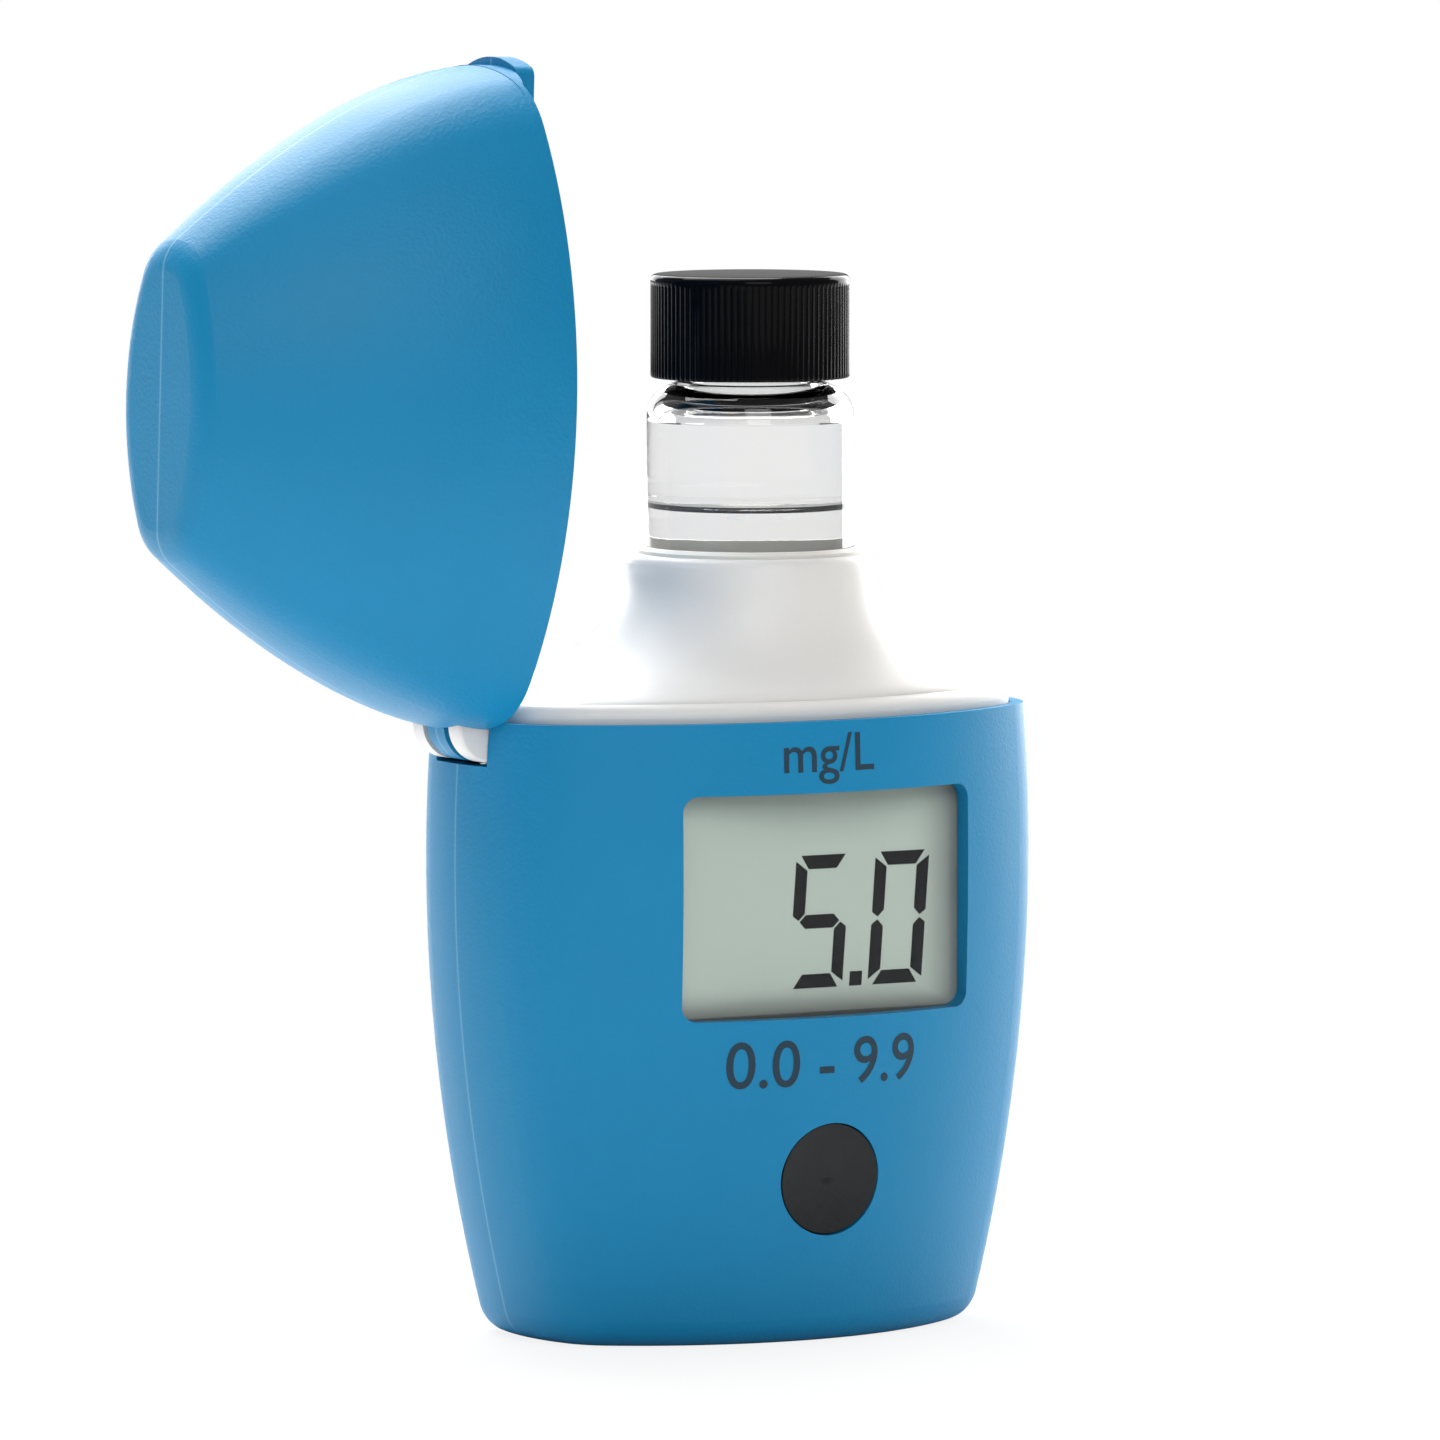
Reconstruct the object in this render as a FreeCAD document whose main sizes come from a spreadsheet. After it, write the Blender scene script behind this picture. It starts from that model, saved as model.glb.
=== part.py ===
import FreeCAD, Part
import math
import os
import Sketcher

# A hand-held photometer: an oval case, a white neck with a sample vial in its well, and a
# hinged lid that is shown open. Millimetres, +Z up, -Y the front, +X the right-hand side.
# The origin is the middle of the flat base, on the plane where the two case halves meet.
SIZES = {
    # Case: half widths and depths where it is widest, and the bow of each side
    "case_half_width": 28.7,
    "case_front_depth": 19.2,
    "case_rear_depth": 17.9,
    "case_height": 56.5,
    "widest_height": 43.2,
    "side_bow": 158.0,
    "front_bow": 331.0,
    "rear_bow": 358.0,
    "case_wall": 1.8,
    "base_edge": 2.4,
    "rim_wall": 1.2,
    "rim_step": 2.9,
    # Neck and collar round the vial
    "vial_axis_across": 1.4,
    "vial_axis_depth": 1.6,
    "neck_fit": 0.1,
    "collar_radius": 11.35,
    "collar_height": 14.1,
    "lip_height": 1.7,
    "neck_wall": 1.8,
    "collar_edge": 0.8,
    "seal_wall": 0.65,
    "seal_depth": 1.4,
    "seal_proud": 0.6,
    # Hinge
    "hinge_across": 27.35,
    "hinge_drop": 0.35,
    "ear_radius": 3.35,
    "ear_reach": 4.3,
    "ear_edge": 0.3,
    "ear_inset": 4.0,
    "knuckle_half": 1.45,
    "knuckle_gap": 0.85,
    "hinge_gap": 0.2,
    "ear_gap": 0.32,
    "pin_radius": 1.0,
    "pin_fit": 0.05,
    "pin_sunk": 0.3,
    "pin_cover": 0.8,
    "pin_end_gap": 0.1,
    # Lid, sized in its closed position
    "lid_gap": 0.2,
    "lid_depth": 31.8,
    "lid_overhang": 3.6,
    "lid_ledge": 1.2,
    "lid_draw": 0.15,
    "lid_crown_half_width": 13.3,
    "lid_crown_half_depth": 7.2,
    "lid_crown_shift": 1.55,
    "lid_wall": 1.6,
    "lid_rim_wall": 0.9,
    "lid_rim_step": 2.4,
    "crown_edge": 2.8,
    "beak_drop": 1.6,
    "beak_radius": 21.0,
    "tab_radius": 10.5,
    "tab_reach": 32.5,
    "tab_half_width": 4.6,
    "tab_corner": 1.0,
    "tab_drop": 3.15,
    "tab_thickness": 1.85,
    "tab_clearance": 0.3,
    "tab_web_reach": 31.0,
    "tab_web_half_width": 3.4,
    # Vial, cap and what they hold
    "vial_radius": 9.4,
    "glass_wall": 1.1,
    "glass_floor": 1.4,
    "vial_body": 57.8,
    "vial_foot_edge": 0.8,
    "neck_radius": 6.7,
    "vial_neck": 8.5,
    "shoulder_round": 2.4,
    "liquid_level": 48.0,
    "liquid_gap": 0.05,
    "cap_radius": 9.05,
    "cap_height": 9.6,
    "cap_top_wall": 1.1,
    "cap_gap": 0.3,
    "cap_edge": 0.6,
    "liner_thickness": 0.7,
    "liner_gap": 0.1,
    # Well and the seat at its bottom
    "well_radius": 9.65,
    "well_wall": 0.7,
    "well_floor": 1.5,
    "seat_travel": 19.0,
    "seat_rest": 0.1,
    "seat_plate": 2.0,
    "seat_skirt": 3.6,
    "seat_skirt_wall": 0.9,
    "spring_radius": 7.4,
    "spring_wire": 0.35,
    "spring_turns": 6,
    "beam_height": 33.2,
    "beam_radius": 2.0,
    # Display
    "window_across": 0.45,
    "window_width": 30.1,
    "window_height": 20.1,
    "window_centre": 39.9,
    "window_front": 15.3,
    "window_thickness": 1.05,
    "window_gap": 0.1,
    "window_corner": 1.4,
    "window_bevel": 0.7,
    "glass_display_thickness": 1.1,
    "glass_display_margin": 0.5,
    "display_frame": 1.2,
    "board_thickness": 0.8,
    "strip_width": 1.6,
    "board_front": 12.85,
    "board_half_width": 16.6,
    "board_base_half_width": 12.4,
    "board_top": 52.6,
    "board_bottom": 8.2,
    "board_shoulder": 25.2,
    "chip_size": 7.0,
    "chip_thickness": 1.2,
    "chip_across": 11.0,
    "chip_height": 17.7,
    # Button, on an axis square to the sloping front
    "button_height": 15.0,
    "button_radius": 5.0,
    "button_fit": 0.15,
    "button_sunk": 0.3,
    "button_dish": 0.5,
    "button_flange": 0.9,
    "button_skirt": 2.4,
    "button_flange_thickness": 0.6,
    "button_stem_radius": 1.6,
    "button_stem": 0.6,
    "switch_size": 6.0,
    "switch_height": 0.5,
    "switch_rise": 0.3,
    "switch_knob_radius": 1.5,
    "switch_knob_height": 0.3,
    # Battery, its door and contacts
    "cell_radius": 5.25,
    "cell_length": 44.5,
    "cell_across": 16.6,
    "cell_depth": 3.8,
    "cell_base": 7.0,
    "cell_can_edge": 0.3,
    "cell_bottom_radius": 3.2,
    "cell_button_radius": 1.9,
    "cell_button_height": 1.0,
    "contact_thickness": 0.4,
    "contact_half": 3.4,
    "contact_bump_radius": 2.2,
    "contact_gap": 1.0,
    "bay_wall": 1.0,
    "bay_outer_gap": 0.6,
    "bay_inner_gap": 2.2,
    "bay_rib": 1.5,
    "bay_rib_front": 9.0,
    "bay_rib_back": 12.0,
    "door_left": 22.6,
    "door_right": 4.8,
    "door_margin": 0.5,
    "door_gap": 0.3,
    "door_corner": 1.6,
    "door_screw_across": 7.8,
    "door_screw_seat": 13.4,
    "door_sleeve_wall": 0.8,
    "door_sleeve_face": 12.05,
    "door_post_front": 8.4,
    # Screws
    "screw_radius": 1.0,
    "screw_fit": 0.05,
    "screw_head_radius": 1.9,
    "screw_head_height": 1.3,
    "screw_slot_half": 0.25,
    "screw_slot_depth": 0.7,
    "screw_point": 0.5,
    "head_fit": 0.25,
    "boss_wall": 1.2,
    "case_screw_length": 16.0,
    "door_screw_length": 7.0,
    "upper_screw_across": 21.0,
    "upper_screw_height": 45.2,
    "lower_screw_across": 16.2,
    "lower_screw_height": 9.5,
    "case_screw_seat": 8.0,
    # Optical bench
    "led_radius": 2.5,
    "led_length": 5.6,
    "bench_size": 9.0,
    "led_block_length": 7.6,
    "detector_block_length": 2.2,
    "filter_radius": 3.0,
    "filter_thickness": 0.9,
    "diode_size": 4.0,
    "diode_thickness": 1.1,
    "bench_gap": 0.05,
}

doc = FreeCAD.newDocument("Photometer")
sheet = doc.addObject("Spreadsheet::Sheet", "Sizes")
for row, (alias, number) in enumerate(SIZES.items(), 1):
    sheet.set(f"A{row}", alias)
    sheet.set(f"B{row}", str(number))
    sheet.setAlias(f"B{row}", alias)
doc.recompute()


class Size:
    """A length as a number and as the sheet formula that gives it."""

    def __init__(self, value, text):
        self.value = value
        self.text = text

    @staticmethod
    def of(other):
        if isinstance(other, Size):
            return other
        return Size(float(other), f"({other})")

    def __add__(self, other):
        other = Size.of(other)
        return Size(self.value + other.value, f"({self.text} + {other.text})")

    def __sub__(self, other):
        other = Size.of(other)
        return Size(self.value - other.value, f"({self.text} - {other.text})")

    def __mul__(self, other):
        other = Size.of(other)
        return Size(self.value * other.value, f"({self.text} * {other.text})")

    def __truediv__(self, other):
        other = Size.of(other)
        return Size(self.value / other.value, f"({self.text} / {other.text})")

    def __radd__(self, other):
        return Size.of(other) + self

    def __rsub__(self, other):
        return Size.of(other) - self

    def __rmul__(self, other):
        return Size.of(other) * self

    def __rtruediv__(self, other):
        return Size.of(other) / self

    def __neg__(self):
        return Size(-self.value, f"(0 - {self.text})")


class Sheet:
    """Reads a size of the sheet by its name."""

    def __getattr__(self, alias):
        return Size(float(sheet.get(alias)), f"Sizes.{alias}")


s = Sheet()


def bind(obj, prop, size):
    """Binds one property to a size."""
    size = Size.of(size)
    obj.setExpression(prop, size.text)


def place(obj, x=0, y=0, z=0):
    """Binds an object's position."""
    for axis, size in zip("xyz", (x, y, z)):
        bind(obj, f"Placement.Base.{axis}", size)


def turn(obj, axis, degrees):
    """Turns an object about an axis through its own origin."""
    obj.Placement = FreeCAD.Placement(
        obj.Placement.Base, FreeCAD.Rotation(FreeCAD.Vector(*axis), degrees)
    )


# Plain solids and the operations between them
def box(name, x, y, z):
    """A box between two bounds along each axis."""
    obj = doc.addObject("Part::Box", name)
    for prop, (low, high) in zip(("Length", "Width", "Height"), (x, y, z)):
        bind(obj, prop, Size.of(high) - low)
    place(obj, x[0], y[0], z[0])
    return obj


TURNS = {"x": ((0, 1, 0), 90), "y": ((1, 0, 0), -90), "z": ((0, 0, 1), 0)}


def rod(name, radius, along, low, high, x=0, y=0, z=0):
    """A cylinder along x, y or z between two bounds."""
    obj = doc.addObject("Part::Cylinder", name)
    bind(obj, "Radius", radius)
    bind(obj, "Height", Size.of(high) - low)
    turn(obj, *TURNS[along])
    spot = {"x": x, "y": y, "z": z}
    spot[along] = low
    place(obj, **spot)
    return obj


def fuse(name, *parts):
    obj = doc.addObject("Part::MultiFuse", name)
    obj.Shapes = list(parts)
    return obj


def cut(name, base, *tools):
    """The base without its tools."""
    tool = tools[0]
    if len(tools) > 1:
        tool = fuse(f"{name}_tools", *tools)
    obj = doc.addObject("Part::Cut", name)
    obj.Base = base
    obj.Tool = tool
    return obj


def common(name, one, other):
    obj = doc.addObject("Part::Common", name)
    obj.Base = one
    obj.Tool = other
    return obj


def origin_plane(body, role):
    """A body's own origin plane."""
    return next(f for f in body.Origin.OriginFeatures if f.Role == role)


def new_sketch(body, name, role, x=0, y=0, z=0):
    """A sketch on one of the body's origin planes, moved by an offset of its own."""
    sketch = body.newObject("Sketcher::SketchObject", name)
    sketch.AttachmentSupport = [(origin_plane(body, role), "")]
    sketch.MapMode = "FlatFace"
    for axis, size in zip("xyz", (x, y, z)):
        bind(sketch, f"AttachmentOffset.Base.{axis}", size)
    return sketch


def new_body(name):
    return doc.addObject("PartDesign::Body", name)


def limit(sketch, constraint, size):
    """Adds a dimension and binds it."""
    index = sketch.addConstraint(constraint)
    sketch.setExpression(f"Constraints[{index}]", Size.of(size).text)


# The oval outline shared by the case, the neck and the lid
def corner_centre(reach, side, front_radius, side_radius, corner_radius):
    """Centre of the corner arc that runs smoothly into the front arc and the side arc."""
    front_x, front_y = 0, reach - front_radius
    side_x, side_y = side - side_radius, 0
    to_front = front_radius - corner_radius
    to_side = side_radius - corner_radius
    gap = math.hypot(side_x - front_x, side_y - front_y)
    along = (to_front**2 - to_side**2 + gap**2) / (2 * gap)
    off = math.sqrt(to_front**2 - along**2)
    ex, ey = (side_x - front_x) / gap, (side_y - front_y) / gap
    return front_x + along * ex + off * ey, front_y + along * ey - off * ex


def oval(body, name, height, half_width, front, rear, inset=0, blunt=1.0, x=0, y=0):
    """A closed outline of eight arcs: front, rear, two sides and four corners."""
    sketch = new_sketch(body, name, "XY_Plane", x, y, height)
    side_radius = (1 + blunt) * front * rear / half_width
    side_centre = half_width - side_radius
    arcs = {}
    for end, reach in (("front", front), ("rear", rear)):
        end_radius = half_width * half_width / reach
        corner_radius = (1 - blunt / 2) * reach
        cx, cy = corner_centre(
            reach.value, half_width.value, end_radius.value, side_radius.value, corner_radius.value
        )
        end_angle = math.atan2(cy - (reach - end_radius).value, cx)
        side_angle = math.atan2(cy, cx - side_centre.value)
        arcs[end] = (end_radius, corner_radius, cx, cy, end_angle, side_angle, reach)

    def arc(cx, cy, radius, start, end):
        circle = Part.Circle(
            FreeCAD.Vector(cx, cy, 0), FreeCAD.Vector(0, 0, 1), (radius - inset).value
        )
        return sketch.addGeometry(Part.ArcOfCircle(circle, start, end))

    f_end, f_corner, f_x, f_y, f_front, f_side, _ = arcs["front"]
    r_end, r_corner, r_x, r_y, r_rear, r_side, _ = arcs["rear"]
    turn_half = math.pi
    right = arc(side_centre.value, 0, side_radius, -f_side, r_side)
    rear_right = arc(r_x, r_y, r_corner, r_side, r_rear)
    back = arc(0, (rear - r_end).value, r_end, r_rear, turn_half - r_rear)
    rear_left = arc(-r_x, r_y, r_corner, turn_half - r_rear, turn_half - r_side)
    left = arc(-side_centre.value, 0, side_radius, turn_half - r_side, turn_half + f_side)
    front_left = arc(-f_x, -f_y, f_corner, turn_half + f_side, turn_half + f_front)
    face = arc(0, (f_end - front).value, f_end, turn_half + f_front, 2 * turn_half - f_front)
    front_right = arc(f_x, -f_y, f_corner, -f_front, -f_side)
    ring = [right, rear_right, back, rear_left, left, front_left, face, front_right]
    for here, there in zip(ring, ring[1:] + ring[:1]):
        sketch.addConstraint(Sketcher.Constraint("Tangent", here, 2, there, 1))
    for one in (back, face):
        sketch.addConstraint(Sketcher.Constraint("PointOnObject", one, 3, -2))
    for one in (right, left):
        sketch.addConstraint(Sketcher.Constraint("PointOnObject", one, 3, -1))
    span = side_centre
    limit(sketch, Sketcher.Constraint("DistanceX", -1, 1, right, 3, span.value), span)
    limit(sketch, Sketcher.Constraint("DistanceX", left, 3, -1, 1, span.value), span)
    rise = f_end - front
    limit(sketch, Sketcher.Constraint("DistanceY", -1, 1, face, 3, rise.value), rise)
    rise = r_end - rear
    limit(sketch, Sketcher.Constraint("DistanceY", back, 3, -1, 1, rise.value), rise)
    radii = (
        (right, side_radius), (left, side_radius), (back, r_end), (face, f_end),
        (rear_right, r_corner), (rear_left, r_corner), (front_left, f_corner), (front_right, f_corner),
    )
    for one, radius in radii:
        size = radius - inset
        limit(sketch, Sketcher.Constraint("Radius", one, size.value), size)
    return sketch


def circle(body, name, height, radius, x=0, y=0):
    """A round outline at a height."""
    sketch = new_sketch(body, name, "XY_Plane", x, y, height)
    index = sketch.addGeometry(
        Part.Circle(FreeCAD.Vector(0, 0, 0), FreeCAD.Vector(0, 0, 1), radius.value)
    )
    sketch.addConstraint(Sketcher.Constraint("Coincident", index, 3, -1, 1))
    limit(sketch, Sketcher.Constraint("Radius", index, radius.value), radius)
    return sketch


def loft(body, name, sketches):
    """A smooth solid through outlines, lowest first."""
    obj = body.newObject("PartDesign::AdditiveLoft", name)
    obj.Profile = sketches[0]
    obj.Sections = sketches[1:]
    obj.Ruled = False
    return obj


def spun(name, points, x=0, y=0, z=0):
    """A body turned from a closed outline of (radius, height) corners about the upright axis."""
    body = new_body(name)
    sketch = new_sketch(body, f"{name}_profile", "XZ_Plane")
    count = len(points)
    for index, (radius, height) in enumerate(points):
        next_radius, next_height = points[(index + 1) % count]
        start = FreeCAD.Vector(Size.of(radius).value, Size.of(height).value, 0)
        end = FreeCAD.Vector(Size.of(next_radius).value, Size.of(next_height).value, 0)
        sketch.addGeometry(Part.LineSegment(start, end))
    for index in range(count):
        sketch.addConstraint(
            Sketcher.Constraint("Coincident", index, 2, (index + 1) % count, 1)
        )
    for index, (radius, height) in enumerate(points):
        for kind, size in (("DistanceX", Size.of(radius)), ("DistanceY", Size.of(height))):
            if size.value == 0:
                axis = -2 if kind == "DistanceX" else -1
                sketch.addConstraint(Sketcher.Constraint("PointOnObject", index, 1, axis))
            elif size.value < 0:
                size = -size
                limit(sketch, Sketcher.Constraint(kind, index, 1, -1, 1, size.value), size)
            else:
                limit(sketch, Sketcher.Constraint(kind, -1, 1, index, 1, size.value), size)
    turned = body.newObject("PartDesign::Revolution", f"{name}_turn")
    turned.Profile = sketch
    turned.ReferenceAxis = (sketch, ["V_Axis"])
    turned.Angle = 360
    place(body, x, y, z)
    return body


def round_edges(body, name, radius, wanted, kind="PartDesign::Fillet"):
    """Rounds the edges of a body's last feature for which wanted(edge) is true."""
    doc.recompute()
    tip = body.Tip
    names = [f"Edge{i}" for i, edge in enumerate(tip.Shape.Edges, 1) if wanted(edge)]
    obj = body.newObject(kind, name)
    obj.Base = (tip, names)
    bind(obj, "Size" if kind.endswith("Chamfer") else "Radius", radius)
    return obj


def flat_at(height):
    """Tells whether an edge lies level at a height."""
    return lambda edge: all(abs(v.Z - height) < 1e-4 for v in edge.Vertexes) and (
        abs(edge.BoundBox.ZLength) < 1e-4
    )


# Case forms
def case_half(level, largest, bow):
    """Half width or depth of the case at a height, bowed about its widest level."""
    off = s.widest_height - level
    return largest - off * off / (2 * bow)


def case_outline(body, name, level, inset):
    """The case's outline at a height."""
    return oval(
        body,
        name,
        level,
        case_half(level, s.case_half_width, s.side_bow),
        case_half(level, s.case_front_depth, s.front_bow),
        case_half(level, s.case_rear_depth, s.rear_bow),
        inset,
    )


STATIONS = 4


def case_form(name, inset, bottom, top):
    """The case as a solid, drawn in by an inset, through evenly spaced outlines."""
    body = new_body(name)
    sketches = []
    for station in range(STATIONS + 1):
        level = bottom + (top - bottom) * (station / STATIONS)
        sketches.append(case_outline(body, f"{name}_outline_{station}", level, inset))
    loft(body, f"{name}_loft", sketches)
    return body


floor = s.case_wall
above = s.case_height + 2
hinge_x = -s.hinge_across
hinge_z = s.case_height - s.hinge_drop
case_sides = case_form("case_sides", Size.of(0), s.base_edge, s.case_height)
# The base edge is rounded: it reaches the floor drawn in by its own radius
case_foot = new_body("case_foot")
foot_lines = [
    case_outline(case_foot, "foot_floor", Size.of(0), s.base_edge),
    case_outline(case_foot, "foot_middle", s.base_edge * 0.3, s.base_edge * 0.3),
    case_outline(case_foot, "foot_top", s.base_edge, Size.of(0)),
]
loft(case_foot, "case_foot_loft", foot_lines)
case_outer = fuse("case_outer", case_foot, case_sides)
case_inner = case_form("case_inner", s.case_wall, floor, above)
case_middle = case_form("case_middle", s.case_wall / 2, floor / 2, s.case_height - s.rim_step - 0.5)

rim_half_width = case_half(s.case_height, s.case_half_width, s.side_bow)
rim_front = case_half(s.case_height, s.case_front_depth, s.front_bow)
rim_rear = case_half(s.case_height, s.case_rear_depth, s.rear_bow)
ledge = s.case_height - s.rim_step

# The step inside the rim that the neck drops into
rim_seat = new_body("rim_seat")
seat_outline = oval(rim_seat, "rim_seat_outline", ledge, rim_half_width, rim_front, rim_rear, s.rim_wall)
rim_pad = rim_seat.newObject("PartDesign::Pad", "rim_seat_pad")
rim_pad.Profile = seat_outline
bind(rim_pad, "Length", s.rim_step + 1)

wall_shell = cut("wall_shell", case_outer, fuse("case_hollow", case_inner, rim_seat))

wide = 2 * s.case_half_width
notch_half = s.ear_reach + s.hinge_gap
notch_floor = hinge_z - s.ear_radius - s.ear_gap
hinge_notch = box(
    "hinge_notch", (-wide, hinge_x + s.ear_inset), (-notch_half, notch_half), (notch_floor, above)
)

# Screw bosses: a sleeve from the case wall to the parting plane
case_screws = (
    ("upper", s.upper_screw_across, s.upper_screw_height),
    ("lower", s.lower_screw_across, s.lower_screw_height),
)
hole_radius = s.screw_radius + s.screw_fit
head_hole_radius = s.screw_head_radius + s.head_fit
far = 2 * s.case_front_depth

front_posts = []
front_holes = []
rear_posts = []
rear_holes = []
for which, across, height in case_screws:
    post = rod(f"front_post_{which}", hole_radius + s.boss_wall, "y", -far, 0, x=across, z=height)
    front_posts.append(common(f"front_boss_{which}", post, case_middle))
    front_holes.append(
        rod(f"front_hole_{which}", hole_radius, "y",
            s.case_screw_seat - s.case_screw_length - 0.5, 1, x=across, z=height)
    )
    post = rod(f"rear_post_{which}", head_hole_radius + s.boss_wall, "y", 0, far, x=across, z=height)
    rear_posts.append(common(f"rear_boss_{which}", post, case_middle))
    rear_holes.append(rod(f"rear_hole_{which}", hole_radius, "y", -1, far, x=across, z=height))
    rear_holes.append(
        rod(f"head_hole_{which}", head_hole_radius, "y", s.case_screw_seat, far, x=across, z=height)
    )

# Display opening, with the pocket behind it that holds the display's frame
window_half_width = s.window_width / 2 + s.window_gap
window_half_height = s.window_height / 2 + s.window_gap


def soft_edges(name, base, radius, wanted):
    """Rounds the edges of a plain solid for which wanted(edge) is true."""
    doc.recompute()
    obj = doc.addObject("Part::Fillet", name)
    obj.Base = base
    obj.Edges = [
        (index, radius.value, radius.value)
        for index, edge in enumerate(base.Shape.Edges, 1)
        if wanted(edge.BoundBox)
    ]
    return obj


def tall_corners(name, base, radius, low, high):
    """Rounds the four edges of a box that run along y."""
    return soft_edges(name, base, radius, lambda span: abs(span.YLength - (high - low)) < 1e-4)


opening_low = -far
opening_high = -s.window_front + s.window_thickness + s.display_frame
opening_box = box(
    "window_opening_box",
    (s.window_across - window_half_width, s.window_across + window_half_width),
    (opening_low, opening_high),
    (s.window_centre - window_half_height, s.window_centre + window_half_height),
)
window_opening = tall_corners(
    "window_opening", opening_box, s.window_corner, opening_low.value, opening_high.value
)
glass_half_width = s.window_width / 2 + s.glass_display_margin
glass_half_height = s.window_height / 2 + s.glass_display_margin
frame_half_width = glass_half_width + s.display_frame
frame_half_height = glass_half_height + s.display_frame
frame_front = s.window_thickness - s.window_front
pocket_gap = s.window_gap
frame_pocket = box(
    "frame_pocket",
    (s.window_across - frame_half_width - pocket_gap, s.window_across + frame_half_width + pocket_gap),
    (frame_front, -s.board_front + 2),
    (s.window_centre - frame_half_height - pocket_gap, s.window_centre + frame_half_height + pocket_gap),
)

# The button's axis is square to the front where the button sits
button_slope = math.degrees(
    math.atan((s.widest_height - s.button_height).value / s.front_bow.value)
)
button_depth = case_half(s.button_height, s.case_front_depth, s.front_bow)


def on_button_axis(obj):
    """Turns an upright solid so that its top faces out along the button's axis."""
    obj.Placement = FreeCAD.Placement(
        FreeCAD.Vector(0, 0, 0), FreeCAD.Rotation(FreeCAD.Vector(1, 0, 0), 90 + button_slope)
    )
    place(obj, 0, -button_depth, s.button_height)


button_hole = doc.addObject("Part::Cylinder", "button_hole")
bind(button_hole, "Radius", s.button_radius + s.button_fit)
bind(button_hole, "Height", 2 * s.button_skirt)
button_hole_lift = s.button_skirt
on_button_axis(button_hole)
hole_turn = button_hole.Placement.Rotation
hole_back = hole_turn.multVec(FreeCAD.Vector(0, 0, -1))
place(
    button_hole,
    0,
    button_hole_lift * hole_back.y - button_depth,
    button_hole_lift * hole_back.z + s.button_height,
)

front_space = box("front_space", (-wide, wide), (-far, 0), (-1, above))
rear_space = box("rear_space", (-wide, wide), (0, far), (-1, above))
front_wall = common("front_wall", wall_shell, front_space)
front_shell = cut(
    "front_shell_solid",
    fuse("front_with_posts", front_wall, *front_posts),
    hinge_notch, window_opening, frame_pocket, button_hole, *front_holes,
)

# Rear half: the cell's bay behind the door, and the door itself cut from the same wall
cell_top = s.cell_base + s.cell_length
bay_low = s.cell_base - s.contact_gap - s.contact_thickness
bay_high = cell_top + s.contact_thickness
door_low = s.cell_base
door_high = cell_top
bay_left = -s.cell_across - s.cell_radius - s.bay_outer_gap
bay_right = -s.cell_across + s.cell_radius + s.bay_inner_gap
rib_left = bay_right - s.bay_rib


def bay_end(name, low, high):
    """A level end wall of the cell's bay."""
    block = box(name + "_block", (bay_left, bay_right), (1, far), (low, high))
    return common(name, block, case_middle)


bay_floor = bay_end("bay_floor", bay_low - s.bay_wall, bay_low)
bay_roof = bay_end("bay_roof", bay_high, bay_high + s.bay_wall)
bay_rib = box(
    "bay_rib", (rib_left, bay_right), (s.bay_rib_front, s.bay_rib_back),
    (bay_low - s.bay_wall, bay_high + s.bay_wall),
)
door_middle = (door_low + door_high) / 2
door_post_radius = hole_radius + s.boss_wall
door_post = rod(
    "door_post", door_post_radius, "y", s.door_post_front, s.bay_rib_back,
    x=-s.door_screw_across, z=door_middle,
)
door_post_hole = rod(
    "door_post_hole", hole_radius, "y", s.door_post_front - 1, s.bay_rib_back + 1,
    x=-s.door_screw_across, z=door_middle,
)


def door_prism(name, grow):
    """The door's rounded outline as a block through the rear wall, grown by a gap."""
    low = 2.0
    block = box(
        name + "_block",
        (-s.door_left - grow, grow - s.door_right),
        (low, far),
        (door_low + s.door_margin - grow, door_high - s.door_margin + grow),
    )
    return tall_corners(name, block, s.door_corner, low, far.value)


door_hole = door_prism("door_hole", s.door_gap)
door_block = door_prism("door_block", Size.of(0))
rear_wall = common("rear_wall", wall_shell, rear_space)
rear_opened = cut("rear_opened", rear_wall, door_hole)
rear_shell = cut(
    "rear_shell_solid",
    fuse("rear_with_posts", rear_opened, bay_floor, bay_roof, bay_rib, door_post, *rear_posts),
    hinge_notch, door_post_hole, *rear_holes,
)

door_skin = common("door_skin", wall_shell, door_block)
door_sleeve = common(
    "door_sleeve",
    rod("door_sleeve_rod", head_hole_radius + s.door_sleeve_wall, "y", s.door_sleeve_face, far,
        x=-s.door_screw_across, z=door_middle),
    case_middle,
)
battery_door = cut(
    "battery_door_solid",
    fuse("door_with_sleeve", door_skin, door_sleeve),
    rod("door_shank_hole", hole_radius, "y", s.door_post_front, far,
        x=-s.door_screw_across, z=door_middle),
    rod("door_head_hole", head_hole_radius, "y", s.door_screw_seat, far,
        x=-s.door_screw_across, z=door_middle),
)


def screw(name, length):
    """A pan-head screw pointing down its own axis, head seat at the origin, with a cross slot."""
    blank = spun(
        name + "_blank",
        (
            (0, -length), (s.screw_radius - s.screw_point, -length),
            (s.screw_radius, s.screw_point - length), (s.screw_radius, 0), (s.screw_head_radius, 0),
            (s.screw_head_radius, s.screw_head_height - s.screw_point),
            (s.screw_head_radius - s.screw_point, s.screw_head_height), (0, s.screw_head_height),
        ),
    )
    slot_reach = s.screw_head_radius - s.screw_slot_depth
    slots = [
        box(f"{name}_slot_{i}", (-a, a), (-b, b),
            (s.screw_head_height - s.screw_slot_depth, s.screw_head_height + 1))
        for i, (a, b) in enumerate(((slot_reach, s.screw_slot_half), (s.screw_slot_half, slot_reach)))
    ]
    return cut(name, blank, *slots)


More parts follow.
